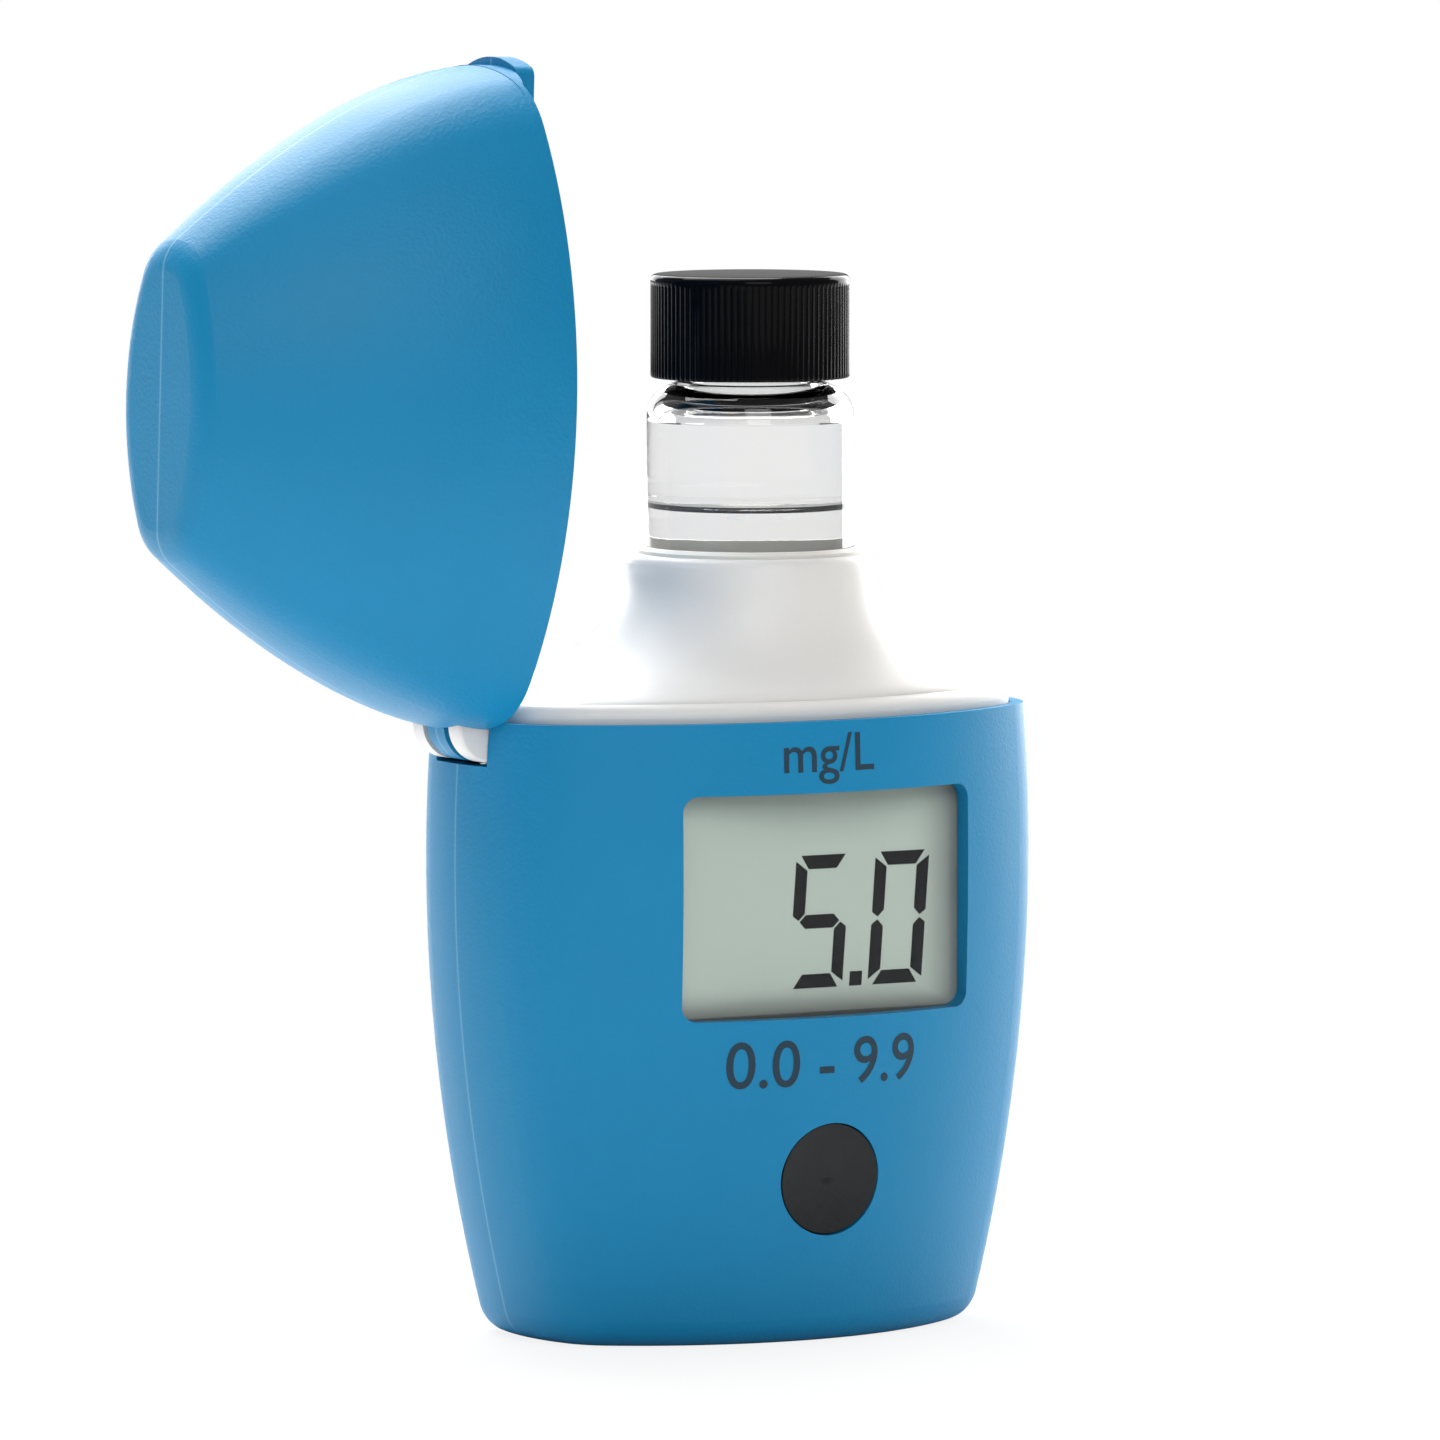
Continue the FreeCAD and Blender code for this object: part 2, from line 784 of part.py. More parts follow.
def facing_back(obj, x, y, z):
    """Points a screw's head to the rear at a place."""
    turn(obj, (1, 0, 0), -90)
    place(obj, x, y, z)


door_screw = screw("door_screw_solid", s.door_screw_length)
facing_back(door_screw, -s.door_screw_across, s.door_screw_seat, door_middle)
screws = {}
for which, across, height in case_screws:
    screws[which] = screw(f"case_screw_{which}", s.case_screw_length)
    facing_back(screws[which], across, s.case_screw_seat, height)

# Neck: a plug in the rim that flares up into the collar
collar_top = s.case_height + s.collar_height
axis_x = s.vial_axis_across
axis_y = -s.vial_axis_depth
plug_inset = s.rim_wall + s.neck_fit
plug_half_width = rim_half_width - plug_inset
plug_front = rim_front - plug_inset
plug_rear = rim_rear - plug_inset


def flare_outline(body, name, level, spread, inset=Size.of(0)):
    """An outline between the collar's circle (spread 0) and the plug's oval (spread 1)."""
    near = 1 - spread
    return oval(
        body,
        name,
        level,
        s.collar_radius * near + plug_half_width * spread,
        s.collar_radius * near + plug_front * spread,
        s.collar_radius * near + plug_rear * spread,
        inset,
        blunt=spread,
        x=axis_x * near,
        y=axis_y * near,
    )


# Share of the rise from lip to collar top at each spread
FLARE = ((0.70, 0.074), (0.42, 0.205), (0.20, 0.40))
lip_top = s.case_height + s.lip_height
flare_rise = collar_top - lip_top

lip_form = new_body("lip_form")
lip_lines = [
    flare_outline(lip_form, "lip_foot", s.case_height + 0.3 * s.lip_height, 1),
    flare_outline(lip_form, "lip_side", s.case_height + 0.74 * s.lip_height, 1, 0.15 * s.lip_height),
    flare_outline(lip_form, "lip_over", lip_top, 1, 0.6 * s.lip_height),
]
loft(lip_form, "lip_loft", lip_lines)
flare_form = new_body("flare_form")
flare_lines = [flare_outline(flare_form, "flare_start", lip_top, 1, 0.6 * s.lip_height)]
for number, (spread, share) in enumerate(FLARE):
    level = lip_top + share * flare_rise
    flare_lines.append(flare_outline(flare_form, f"flare_{number}", level, spread))
flare_lines.append(
    circle(flare_form, "collar_foot", lip_top + 0.66 * flare_rise, 1.045 * s.collar_radius, axis_x, axis_y)
)
flare_lines.append(
    circle(flare_form, "collar_side", collar_top - s.collar_edge, s.collar_radius, axis_x, axis_y)
)
loft(flare_form, "flare_loft", flare_lines)
collar_round = new_body("collar_round")
collar_lines = []
for number, (below, within) in enumerate(((1, 0), (0.3, 0.3), (0, 1))):
    collar_lines.append(
        circle(collar_round, f"collar_edge_{number}", collar_top - below * s.collar_edge,
               s.collar_radius - within * s.collar_edge, axis_x, axis_y)
    )
loft(collar_round, "collar_loft", collar_lines)

plug = new_body("plug")
plug_outline = flare_outline(plug, "plug_outline", ledge, 1)
plug_pad = plug.newObject("PartDesign::Pad", "plug_pad")
plug_pad.Profile = plug_outline
bind(plug_pad, "Length", s.rim_step + 0.3 * s.lip_height)

neck_cavity = new_body("neck_cavity")
cavity_top = lip_top + FLARE[2][1] * flare_rise - s.neck_wall
cavity_lines = [flare_outline(neck_cavity, "cavity_foot", ledge - 0.1, 1, s.neck_wall)]
for number, (spread, share) in enumerate(FLARE):
    level = lip_top + share * flare_rise - s.neck_wall
    inset = s.neck_wall * (0.6 + 0.5 * spread)
    cavity_lines.append(flare_outline(neck_cavity, f"cavity_{number}", level, spread, inset))
loft(neck_cavity, "cavity_loft", cavity_lines)

ear_slot_half = s.knuckle_half + s.knuckle_gap
ears = []


def ear_barrel(name, low, high, outer):
    """One ear's barrel, its outer end rounded."""
    barrel = rod(f"{name}_rod", s.ear_radius, "y", low, high, x=hinge_x, z=hinge_z)
    return soft_edges(
        name, barrel, s.ear_edge,
        lambda span: span.YLength < 1e-4 and abs(span.YMin - outer.value) < 1e-4,
    )


for side, low, high in (("front", -s.ear_reach, -ear_slot_half), ("rear", ear_slot_half, s.ear_reach)):
    ears.append(ear_barrel(f"ear_{side}", low, high, low if side == "front" else high))
    ears.append(
        box(f"ear_block_{side}", (hinge_x, hinge_x + s.ear_inset), (low, high),
            (hinge_z - s.ear_radius, hinge_z + s.lip_height))
    )
knuckle_slot = rod(
    "knuckle_slot", s.ear_radius + s.ear_gap, "y", -ear_slot_half, ear_slot_half,
    x=hinge_x, z=hinge_z,
)
# The pin goes in from the rear: the front ear's hole is blind
pin_front = s.pin_cover - s.ear_reach
pin_hole = rod(
    "pin_hole", s.pin_radius + s.pin_fit, "y", pin_front, 2 * s.ear_reach,
    x=hinge_x, z=hinge_z,
)
vial_bore = rod("vial_bore", s.well_radius + 0.1, "z", ledge, collar_top + 1, x=axis_x, y=axis_y)
seal_inner = s.vial_radius + 0.1
seal_outer = seal_inner + s.seal_wall
seal_seat = rod(
    "seal_seat", seal_outer, "z", collar_top - s.seal_depth, collar_top + 1, x=axis_x, y=axis_y
)
neck_insert = cut(
    "neck_insert_solid",
    fuse("neck_body", cut("neck_hollowed", fuse("neck_outer", lip_form, flare_form, collar_round, plug), neck_cavity), *ears),
    knuckle_slot, pin_hole, vial_bore, seal_seat,
)

seal_ring = spun(
    "seal_ring_solid",
    (
        (seal_inner, 0), (seal_outer, 0), (seal_outer, s.seal_depth + s.seal_proud - 0.3),
        (seal_outer - 0.3, s.seal_depth + s.seal_proud), (seal_inner, s.seal_depth + s.seal_proud),
    ),
    axis_x, axis_y, collar_top - s.seal_depth,
)

hinge_pin = rod(
    "hinge_pin_solid", s.pin_radius, "y", pin_front + s.pin_end_gap, s.ear_reach - s.pin_sunk,
    x=hinge_x, z=hinge_z,
)

# Well: a black tube that stands on the case floor and ends under the collar
well_outer = s.well_radius + s.well_wall
well_height = cavity_top - s.neck_fit - floor
well_tube = spun(
    "well_tube",
    (
        (0, 0), (well_outer, 0), (well_outer, well_height), (s.well_radius, well_height),
        (s.well_radius, s.well_floor), (0, s.well_floor),
    ),
    axis_x, axis_y, floor,
)
beam = rod(
    "beam_hole", s.beam_radius, "x", axis_x - 2 * well_outer, axis_x + 2 * well_outer,
    y=axis_y, z=s.beam_height,
)
vial_well = cut("vial_well_solid", well_tube, beam)

# The seat's skirt clears the well's floor by a hair when the lid has pushed it down
seat_low = floor + s.well_floor + s.seat_rest + s.seat_skirt + s.seat_plate
vial_base = seat_low + s.seat_travel
vial_seat = spun(
    "vial_seat_solid",
    (
        (0, 0), (s.vial_radius, 0), (s.vial_radius, -s.seat_plate - s.seat_skirt),
        (s.vial_radius - s.seat_skirt_wall, -s.seat_plate - s.seat_skirt),
        (s.vial_radius - s.seat_skirt_wall, -s.seat_plate), (0, -s.seat_plate),
    ),
    axis_x, axis_y, vial_base,
)

# Coil under the seat, seen stretched to the height the vial stands at
spring_low = floor + s.well_floor
spring_high = vial_base - s.seat_plate
seat_spring = new_body("seat_spring_solid")
wire = new_sketch(seat_spring, "wire_outline", "XZ_Plane")
wire_circle = wire.addGeometry(
    Part.Circle(
        FreeCAD.Vector(s.spring_radius.value, 0, 0), FreeCAD.Vector(0, 0, 1), s.spring_wire.value
    )
)
limit(wire, Sketcher.Constraint("Radius", wire_circle, s.spring_wire.value), s.spring_wire)
limit(
    wire, Sketcher.Constraint("DistanceX", -1, 1, wire_circle, 3, s.spring_radius.value),
    s.spring_radius,
)
limit(
    wire, Sketcher.Constraint("DistanceY", -1, 1, wire_circle, 3, s.spring_wire.value), s.spring_wire
)
coil = seat_spring.newObject("PartDesign::AdditiveHelix", "spring_coil")
coil.Profile = wire
coil.ReferenceAxis = (wire, ["V_Axis"])
coil.Mode = 2
bind(coil, "Height", spring_high - spring_low - 2 * s.spring_wire)
bind(coil, "Turns", s.spring_turns)
place(seat_spring, axis_x, axis_y, spring_low)

# Optical bench: lamp block to the right of the well, filter and detector to the left
half_bench = s.bench_size / 2
bench_y = (axis_y - half_bench, axis_y + half_bench)
bench_z = (s.beam_height - half_bench, s.beam_height + half_bench)
led_face = axis_x + well_outer + s.bench_gap
led_block = box("led_block", (led_face, led_face + s.led_block_length), bench_y, bench_z)
led_hole = rod(
    "led_hole", s.led_radius + s.bench_gap, "x", led_face - 1, led_face + s.led_block_length + 1,
    y=axis_y, z=s.beam_height,
)
led_rear = rod(
    "led_rear", s.led_radius + 0.45, "x", led_face + s.led_length, led_face + s.led_block_length + 1,
    y=axis_y, z=s.beam_height,
)
led_holder = cut("led_holder_solid", led_block, led_hole, led_rear)
led_emitter = spun(
    "led_emitter_solid",
    (
        (0, -1.0), (s.led_radius + 0.4, -1.0), (s.led_radius + 0.4, 0), (s.led_radius, 0),
        (s.led_radius, s.led_length - 2.2), (0.7 * s.led_radius, s.led_length - 0.7),
        (0, s.led_length - 0.2),
    ),
)
turn(led_emitter, (0, 1, 0), -90)
place(led_emitter, led_face + s.led_length, axis_y, s.beam_height)

detector_face = axis_x - well_outer - s.bench_gap
detector_block = box(
    "detector_block", (detector_face - s.detector_block_length, detector_face), bench_y, bench_z
)
filter_hole = rod(
    "filter_hole", s.filter_radius + s.bench_gap, "x", detector_face - s.filter_thickness,
    detector_face + 1, y=axis_y, z=s.beam_height,
)
half_diode = s.diode_size / 2 + s.bench_gap
diode_hole = box(
    "diode_hole",
    (detector_face - s.detector_block_length - 1, detector_face),
    (axis_y - half_diode, axis_y + half_diode),
    (s.beam_height - half_diode, s.beam_height + half_diode),
)
detector_holder = cut("detector_holder_solid", detector_block, filter_hole, diode_hole)
band_filter = rod(
    "band_filter_solid", s.filter_radius, "x", detector_face - s.filter_thickness, detector_face - 0.05,
    y=axis_y, z=s.beam_height,
)
diode_back = detector_face - s.filter_thickness
photodiode = box(
    "photodiode_solid",
    (diode_back - s.diode_thickness, diode_back),
    (axis_y - s.diode_size / 2, axis_y + s.diode_size / 2),
    (s.beam_height - s.diode_size / 2, s.beam_height + s.diode_size / 2),
)


# Display stack: window, glass, frame, contact strip and circuit board
def upright_plate(name, half_width, half_height, thickness, corner):
    """A plate with rounded corners that stands in the xz plane and grows towards the rear."""
    body = new_body(name)
    sketch = new_sketch(body, f"{name}_outline", "XZ_Plane")
    corners = [(-1, -1), (1, -1), (1, 1), (-1, 1)]
    for index, (across, up) in enumerate(corners):
        next_across, next_up = corners[(index + 1) % 4]
        sketch.addGeometry(
            Part.LineSegment(
                FreeCAD.Vector(across * half_width.value, up * half_height.value, 0),
                FreeCAD.Vector(next_across * half_width.value, next_up * half_height.value, 0),
            )
        )
    for index in range(4):
        sketch.addConstraint(Sketcher.Constraint("Coincident", index, 2, (index + 1) % 4, 1))
        kind = "Horizontal" if index % 2 == 0 else "Vertical"
        sketch.addConstraint(Sketcher.Constraint(kind, index))
    sketch.addConstraint(Sketcher.Constraint("Symmetric", 0, 1, 1, 2, -1, 1))
    width = 2 * half_width
    height = 2 * half_height
    limit(sketch, Sketcher.Constraint("DistanceX", 0, 1, 0, 2, width.value), width)
    limit(sketch, Sketcher.Constraint("DistanceY", 1, 1, 1, 2, height.value), height)
    pad = body.newObject("PartDesign::Pad", f"{name}_pad")
    pad.Profile = sketch
    pad.Reversed = True
    bind(pad, "Length", thickness)
    if corner is not None:
        round_edges(
            body, f"{name}_corners", corner,
            lambda edge: edge.BoundBox.YLength > 0.9 * thickness.value,
        )
    return body


display_window = upright_plate(
    "display_window_solid", s.window_width / 2, s.window_height / 2, s.window_thickness,
    s.window_corner,
)
round_edges(
    display_window, "window_bevel_edge", s.window_bevel,
    lambda edge: edge.BoundBox.YLength < 1e-4 and abs(edge.BoundBox.YMin) < 1e-4,
)
place(display_window, s.window_across, -s.window_front, s.window_centre)
display_glass = upright_plate(
    "display_glass_solid", glass_half_width, glass_half_height, s.glass_display_thickness, None
)
glass_front = frame_front + s.window_gap
place(display_glass, s.window_across, glass_front, s.window_centre)
frame_back = -s.board_front
frame_block = box(
    "frame_block",
    (s.window_across - frame_half_width, s.window_across + frame_half_width),
    (frame_front, frame_back),
    (s.window_centre - frame_half_height, s.window_centre + frame_half_height),
)
frame_hole = box(
    "frame_hole",
    (s.window_across - glass_half_width - 0.05, s.window_across + glass_half_width + 0.05),
    (frame_front - 1, frame_back + 1),
    (s.window_centre - glass_half_height - 0.05, s.window_centre + glass_half_height + 0.05),
)
display_frame = cut("display_frame_solid", frame_block, frame_hole)
strips = {}
for which, side in (("upper", 1), ("lower", -1)):
    edge = s.window_centre + side * glass_half_height
    inner = edge - side * s.strip_width
    low, high = (inner, edge) if side > 0 else (edge, inner)
    strips[which] = box(
        f"contact_strip_{which}_solid",
        (s.window_across - 0.9 * glass_half_width, s.window_across + 0.9 * glass_half_width),
        (glass_front + s.glass_display_thickness, frame_back),
        (low, high),
    )

board = new_body("circuit_board_solid")
board_sketch = new_sketch(board, "board_outline", "XZ_Plane")
board_corners = (
    (-s.board_base_half_width, s.board_bottom), (s.board_base_half_width, s.board_bottom),
    (s.board_half_width, s.board_shoulder), (s.board_half_width, s.board_top),
    (-s.board_half_width, s.board_top), (-s.board_half_width, s.board_shoulder),
)
for index, (x, z) in enumerate(board_corners):
    next_x, next_z = board_corners[(index + 1) % 6]
    board_sketch.addGeometry(
        Part.LineSegment(
            FreeCAD.Vector(x.value, z.value, 0), FreeCAD.Vector(next_x.value, next_z.value, 0)
        )
    )
for index, (x, z) in enumerate(board_corners):
    board_sketch.addConstraint(Sketcher.Constraint("Coincident", index, 2, (index + 1) % 6, 1))
for index, (x, z) in enumerate(board_corners):
    if x.value > 0:
        limit(board_sketch, Sketcher.Constraint("DistanceX", -1, 1, index, 1, x.value), x)
    else:
        limit(board_sketch, Sketcher.Constraint("DistanceX", index, 1, -1, 1, -x.value), -x)
    limit(board_sketch, Sketcher.Constraint("DistanceY", -1, 1, index, 1, z.value), z)
board_pad = board.newObject("PartDesign::Pad", "board_pad")
board_pad.Profile = board_sketch
board_pad.Reversed = True
bind(board_pad, "Length", s.board_thickness)
place(board, 0, -s.board_front, 0)

half_chip = s.chip_size / 2
board_rear = s.board_thickness - s.board_front
chip = box(
    "controller_chip_solid",
    (-s.chip_across - half_chip, half_chip - s.chip_across),
    (board_rear, board_rear + s.chip_thickness),
    (s.chip_height - half_chip, s.chip_height + half_chip),
)
switch_top = s.board_front + s.switch_height
switch_level = s.button_height + s.switch_rise
half_switch = s.switch_size / 2
switch_block = box(
    "switch_block", (-half_switch, half_switch), (-switch_top, -s.board_front),
    (switch_level - half_switch, switch_level + half_switch),
)
switch_knob = rod(
    "switch_knob", s.switch_knob_radius, "y", -switch_top - s.switch_knob_height, -s.board_front,
    z=switch_level,
)
tact_switch = fuse("tact_switch_solid", switch_block, switch_knob)

# Button: a dished cap with a flange behind the wall and a stem to the switch
dish_floor = -s.button_sunk - s.button_dish
button_back = -s.button_skirt - s.button_flange_thickness
dish_sphere = (s.button_radius * s.button_radius + s.button_dish * s.button_dish) / (2 * s.button_dish)
button_cap = spun(
    "button_cap",
    (
        (0, -s.button_sunk), (s.button_radius, -s.button_sunk), (s.button_radius, -s.button_skirt),
        (s.button_radius + s.button_flange, -s.button_skirt),
        (s.button_radius + s.button_flange, button_back), (s.button_stem_radius, button_back),
        (s.button_stem_radius, button_back - s.button_stem), (0, button_back - s.button_stem),
    ),
)
dish = doc.addObject("Part::Sphere", "button_dish_ball")
bind(dish, "Radius", dish_sphere)
place(dish, 0, 0, dish_floor + dish_sphere)
button = cut("button_solid", button_cap, dish)
on_button_axis(button)

# Cell and its two contact plates
cell_can = s.cell_length - s.cell_button_height
cell = spun(
    "battery_solid",
    (
        (0, 0), (s.cell_bottom_radius, 0), (s.cell_bottom_radius, s.cell_can_edge),
        (s.cell_radius, s.cell_can_edge), (s.cell_radius, cell_can), (s.cell_button_radius, cell_can),
        (s.cell_button_radius, s.cell_length), (0, s.cell_length),
    ),
    -s.cell_across, s.cell_depth, s.cell_base,
)
contact_x = (-s.cell_across - s.contact_half, s.contact_half - s.cell_across)
contact_y = (s.cell_depth - s.contact_half, s.cell_depth + s.contact_half)
contact_low = box(
    "contact_lower_solid", contact_x, contact_y, (bay_low, bay_low + s.contact_thickness)
)
contact_bump = rod(
    "contact_bump", s.contact_bump_radius, "z", bay_low, s.cell_base, x=-s.cell_across, y=s.cell_depth
)
battery_contact_lower = fuse("battery_contact_lower_solid", contact_low, contact_bump)
battery_contact_upper = box(
    "battery_contact_upper_solid", contact_x, contact_y, (cell_top, bay_high)
)

# Vial: thin glass with a rounded shoulder, a neck and a threaded mouth under the cap
glass_inner = s.vial_radius - s.glass_wall
shoulder = vial_base + s.vial_body
mouth = shoulder + s.vial_neck
vial = spun(
    "sample_vial_solid",
    (
        (0, vial_base), (s.vial_radius, vial_base), (s.vial_radius, shoulder),
        (s.neck_radius, shoulder), (s.neck_radius, mouth), (s.neck_radius - s.glass_wall, mouth),
        (s.neck_radius - s.glass_wall, shoulder - s.glass_wall),
        (glass_inner, shoulder - s.glass_wall), (glass_inner, vial_base + s.glass_floor),
        (0, vial_base + s.glass_floor),
    ),
    axis_x, axis_y,
)
round_edges(
    vial, "shoulder_round_edge", s.shoulder_round,
    lambda edge: flat_at(shoulder.value)(edge) and edge.BoundBox.XLength > 2 * s.neck_radius.value + 1,
)
round_edges(
    vial, "inner_shoulder_edge", s.shoulder_round - s.glass_wall,
    lambda edge: flat_at((shoulder - s.glass_wall).value)(edge)
    and edge.BoundBox.XLength > 2 * s.neck_radius.value,
)
round_edges(vial, "vial_foot_round", s.vial_foot_edge, flat_at(vial_base.value))
liquid = rod(
    "sample_liquid_solid", glass_inner - s.liquid_gap, "z", vial_base + s.glass_floor + s.liquid_gap,
    vial_base + s.liquid_level, x=axis_x, y=axis_y,
)

# Cap: it sits on its liner, the liner on the mouth
cap_ceiling = mouth + s.liner_thickness
cap_top = cap_ceiling + s.cap_top_wall
cap_low = cap_top - s.cap_height
cap_bore = s.neck_radius + s.cap_gap
cap = spun(
    "vial_cap_solid",
    (
        (0, cap_ceiling), (cap_bore, cap_ceiling), (cap_bore, cap_low), (s.cap_radius, cap_low),
        (s.cap_radius, cap_top), (0, cap_top),
    ),
    axis_x, axis_y,
)
round_edges(cap, "cap_round", s.cap_edge, flat_at(cap_top.value))
liner = rod(
    "cap_liner_solid", cap_bore - s.liner_gap, "z", mouth, cap_ceiling, x=axis_x, y=axis_y
)

# Lid, built closed and then swung open about the hinge. Flush with the case at the hinge, it
# overhangs it at the far end, where the thumb tab hangs in front of the case's wall.
lid_low = s.case_height + s.lid_gap
lid_high = lid_low + s.lid_depth
lid_shift = s.lid_overhang / 2
lid_half_width = rim_half_width + lid_shift
LID_CURVE = 1.59


def power(base, exponent):
    base = Size.of(base)
    return Size(base.value**exponent, f"({base.text} ^ {exponent})")


def lid_outline(body, name, share, inset, level):
    """The lid's outline at a share of its depth, drawing in more and more towards the crown."""
    fullness = 1 - power(share, LID_CURVE)
    return oval(
        body,
        name,
        level,
        s.lid_crown_half_width + (lid_half_width - s.lid_crown_half_width) * fullness,
        s.lid_crown_half_depth + (rim_front - s.lid_draw - s.lid_crown_half_depth) * fullness,
        s.lid_crown_half_depth + (rim_rear - s.lid_draw - s.lid_crown_half_depth) * fullness,
        inset,
        x=s.lid_crown_shift + (lid_shift - s.lid_crown_shift) * fullness,
    )


STEPS = 5
crown_foot = 0.45 * s.crown_edge


def lid_form(name, inset, depth, first_share, last_share):
    """The lid as a solid, drawn in by an inset, through evenly spaced outlines."""
    body = new_body(name)
    lines = []
    for step in range(STEPS + 1):
        share = first_share + (last_share - first_share) * (step / STEPS)
        lines.append(lid_outline(body, f"{name}_outline_{step}", share, inset, lid_low + share * depth))
    loft(body, f"{name}_loft", lines)
    return body


lid_sides = lid_form("lid_sides", Size.of(0), s.lid_depth, Size.of(0), 1 - crown_foot / s.lid_depth)
lid_inner_depth = s.lid_depth - s.lid_wall
lid_inner = lid_form(
    "lid_inner", s.lid_wall, lid_inner_depth, s.lid_ledge / lid_inner_depth, Size.of(1)
)
lid_crown = new_body("lid_crown")
crown_lines = []
for number, (below, within) in enumerate(((0.45, 0), (0.15, 0.15), (0, 0.6))):
    drop = below * s.crown_edge
    crown_lines.append(
        lid_outline(lid_crown, f"crown_outline_{number}", 1 - drop / s.lid_depth,
                    within * s.crown_edge, lid_high - drop)
    )
loft(lid_crown, "lid_crown_loft", crown_lines)
lid_outer = fuse("lid_outer", lid_sides, lid_crown)
lid_rebate = new_body("lid_rebate")
rebate_outline = oval(
    lid_rebate, "lid_rebate_outline", lid_low - 0.5, rim_half_width, rim_front, rim_rear, s.lid_rim_wall
)
rebate_pad = lid_rebate.newObject("PartDesign::Pad", "lid_rebate_pad")
rebate_pad.Profile = rebate_outline
bind(rebate_pad, "Length", s.lid_rim_step + 0.5)

ear_cuts = []
for side, low, high in (("front", -notch_half, -s.knuckle_half), ("rear", s.knuckle_half, notch_half)):
    ear_cuts.append(
        rod(f"lid_ear_cut_{side}", s.ear_radius + s.ear_gap, "y", low, high, x=hinge_x, z=hinge_z)
    )
knuckle = rod(
    "lid_knuckle", s.ear_radius, "y", -s.knuckle_half, s.knuckle_half, x=hinge_x, z=hinge_z
)

# The overhanging end dips below the rim like a beak
tab_low = lid_low - s.tab_drop
lid_beak = new_body("lid_beak")
beak_outline = lid_outline(lid_beak, "lid_beak_outline", 0, Size.of(0), lid_low - 2 * s.beak_drop)
beak_pad = lid_beak.newObject("PartDesign::Pad", "lid_beak_pad")
beak_pad.Profile = beak_outline
bind(beak_pad, "Length", 2 * s.beak_drop + s.lid_ledge / 2)
beak_round = rod(
    "beak_round", s.beak_radius, "x", 0, wide, z=lid_low - s.beak_drop + s.beak_radius
)
beak = common("beak", lid_beak, beak_round)

# Thumb tab: a rounded tongue under the beak, held by a web, clear of the case's wall
tab_high = tab_low + s.tab_thickness
tab_disc = rod("tab_disc", s.tab_radius, "z", tab_low, tab_high, x=s.tab_reach - s.tab_radius)
tab_block = box(
    "tab_block", (0, s.tab_reach), (-s.tab_half_width, s.tab_half_width), (tab_low, tab_high)
)
tab_tongue = soft_edges(
    "tab_tongue", common("tab_sides", tab_disc, tab_block), s.tab_corner,
    lambda span: span.ZLength > 0.9 * s.tab_thickness.value and span.XMin > s.case_front_depth.value,
)
tab_web = box(
    "tab_web", (0, s.tab_web_reach), (-s.tab_web_half_width, s.tab_web_half_width),
    (tab_high - s.tab_corner, lid_low + s.lid_ledge / 2),
)
tab_space = new_body("tab_space")
tab_outline = case_outline(tab_space, "tab_space_outline", tab_low - 1, -s.tab_clearance)
tab_space_pad = tab_space.newObject("PartDesign::Pad", "tab_space_pad")
tab_space_pad.Profile = tab_outline
bind(tab_space_pad, "Length", lid_low + s.lid_ledge - tab_low + 1)
tab = cut("tab", fuse("tab_blank", tab_tongue, tab_web, beak), tab_space)
lid_hollow = cut("lid_hollow", lid_outer, lid_inner, lid_rebate, *ear_cuts)
pin_run = rod(
    "pin_run", s.pin_radius + s.pin_fit + 0.03, "y", -s.ear_reach, s.ear_reach,
    x=hinge_x, z=hinge_z,
)
lid = cut("lid_closed", fuse("lid_with_knuckle", lid_hollow, knuckle, tab), pin_run)
doc.recompute()
LID_OPEN = 88.3
hinge_point = FreeCAD.Vector(hinge_x.value, 0, hinge_z.value)
lid.Placement = FreeCAD.Placement(
    FreeCAD.Vector(0, 0, 0), FreeCAD.Rotation(FreeCAD.Vector(0, 1, 0), -LID_OPEN), hinge_point
)

NODES = {
    "front_shell": front_shell,
    "rear_shell": rear_shell,
    "battery_door": battery_door,
    "door_screw": door_screw,
    "shell_screw_upper": screws["upper"],
    "shell_screw_lower": screws["lower"],
    "neck_insert": neck_insert,
    "seal_ring": seal_ring,
    "hinge_pin": hinge_pin,
    "vial_well": vial_well,
    "vial_seat": vial_seat,
    "seat_spring": seat_spring,
    "led_holder": led_holder,
    "led_emitter": led_emitter,
    "detector_holder": detector_holder,
    "band_filter": band_filter,
    "photodiode": photodiode,
    "display_window": display_window,
    "display_glass": display_glass,
    "display_frame": display_frame,
    "contact_strip_upper": strips["upper"],
    "contact_strip_lower": strips["lower"],
    "circuit_board": board,
    "controller_chip": chip,
    "tact_switch": tact_switch,
    "button": button,
    "battery": cell,
    "battery_contact_lower": battery_contact_lower,
    "battery_contact_upper": battery_contact_upper,
    "sample_vial": vial,
    "sample_liquid": liquid,
    "vial_cap": cap,
    "cap_liner": liner,
    "lid": lid,
}

doc.recompute()
for obj in doc.Objects:
    if "Invalid" in obj.State or "Error" in obj.State:
        raise RuntimeError(f"{obj.Name} failed: {obj.State}")
os.makedirs("parts", exist_ok=True)
for node, obj in NODES.items():
    obj.Label = node
    shape = obj.Shape
    if shape.isNull() or not shape.isValid():
        raise RuntimeError(f"{node} has no valid shape")
    if len(shape.Solids) != 1:
        raise RuntimeError(f"{node} has {len(shape.Solids)} solids")
    shape.exportStep(f"parts/{node}.step")
print("nodes", len(NODES))
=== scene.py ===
import math

import bmesh
import bpy
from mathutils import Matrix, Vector
from mathutils.bvhtree import BVHTree


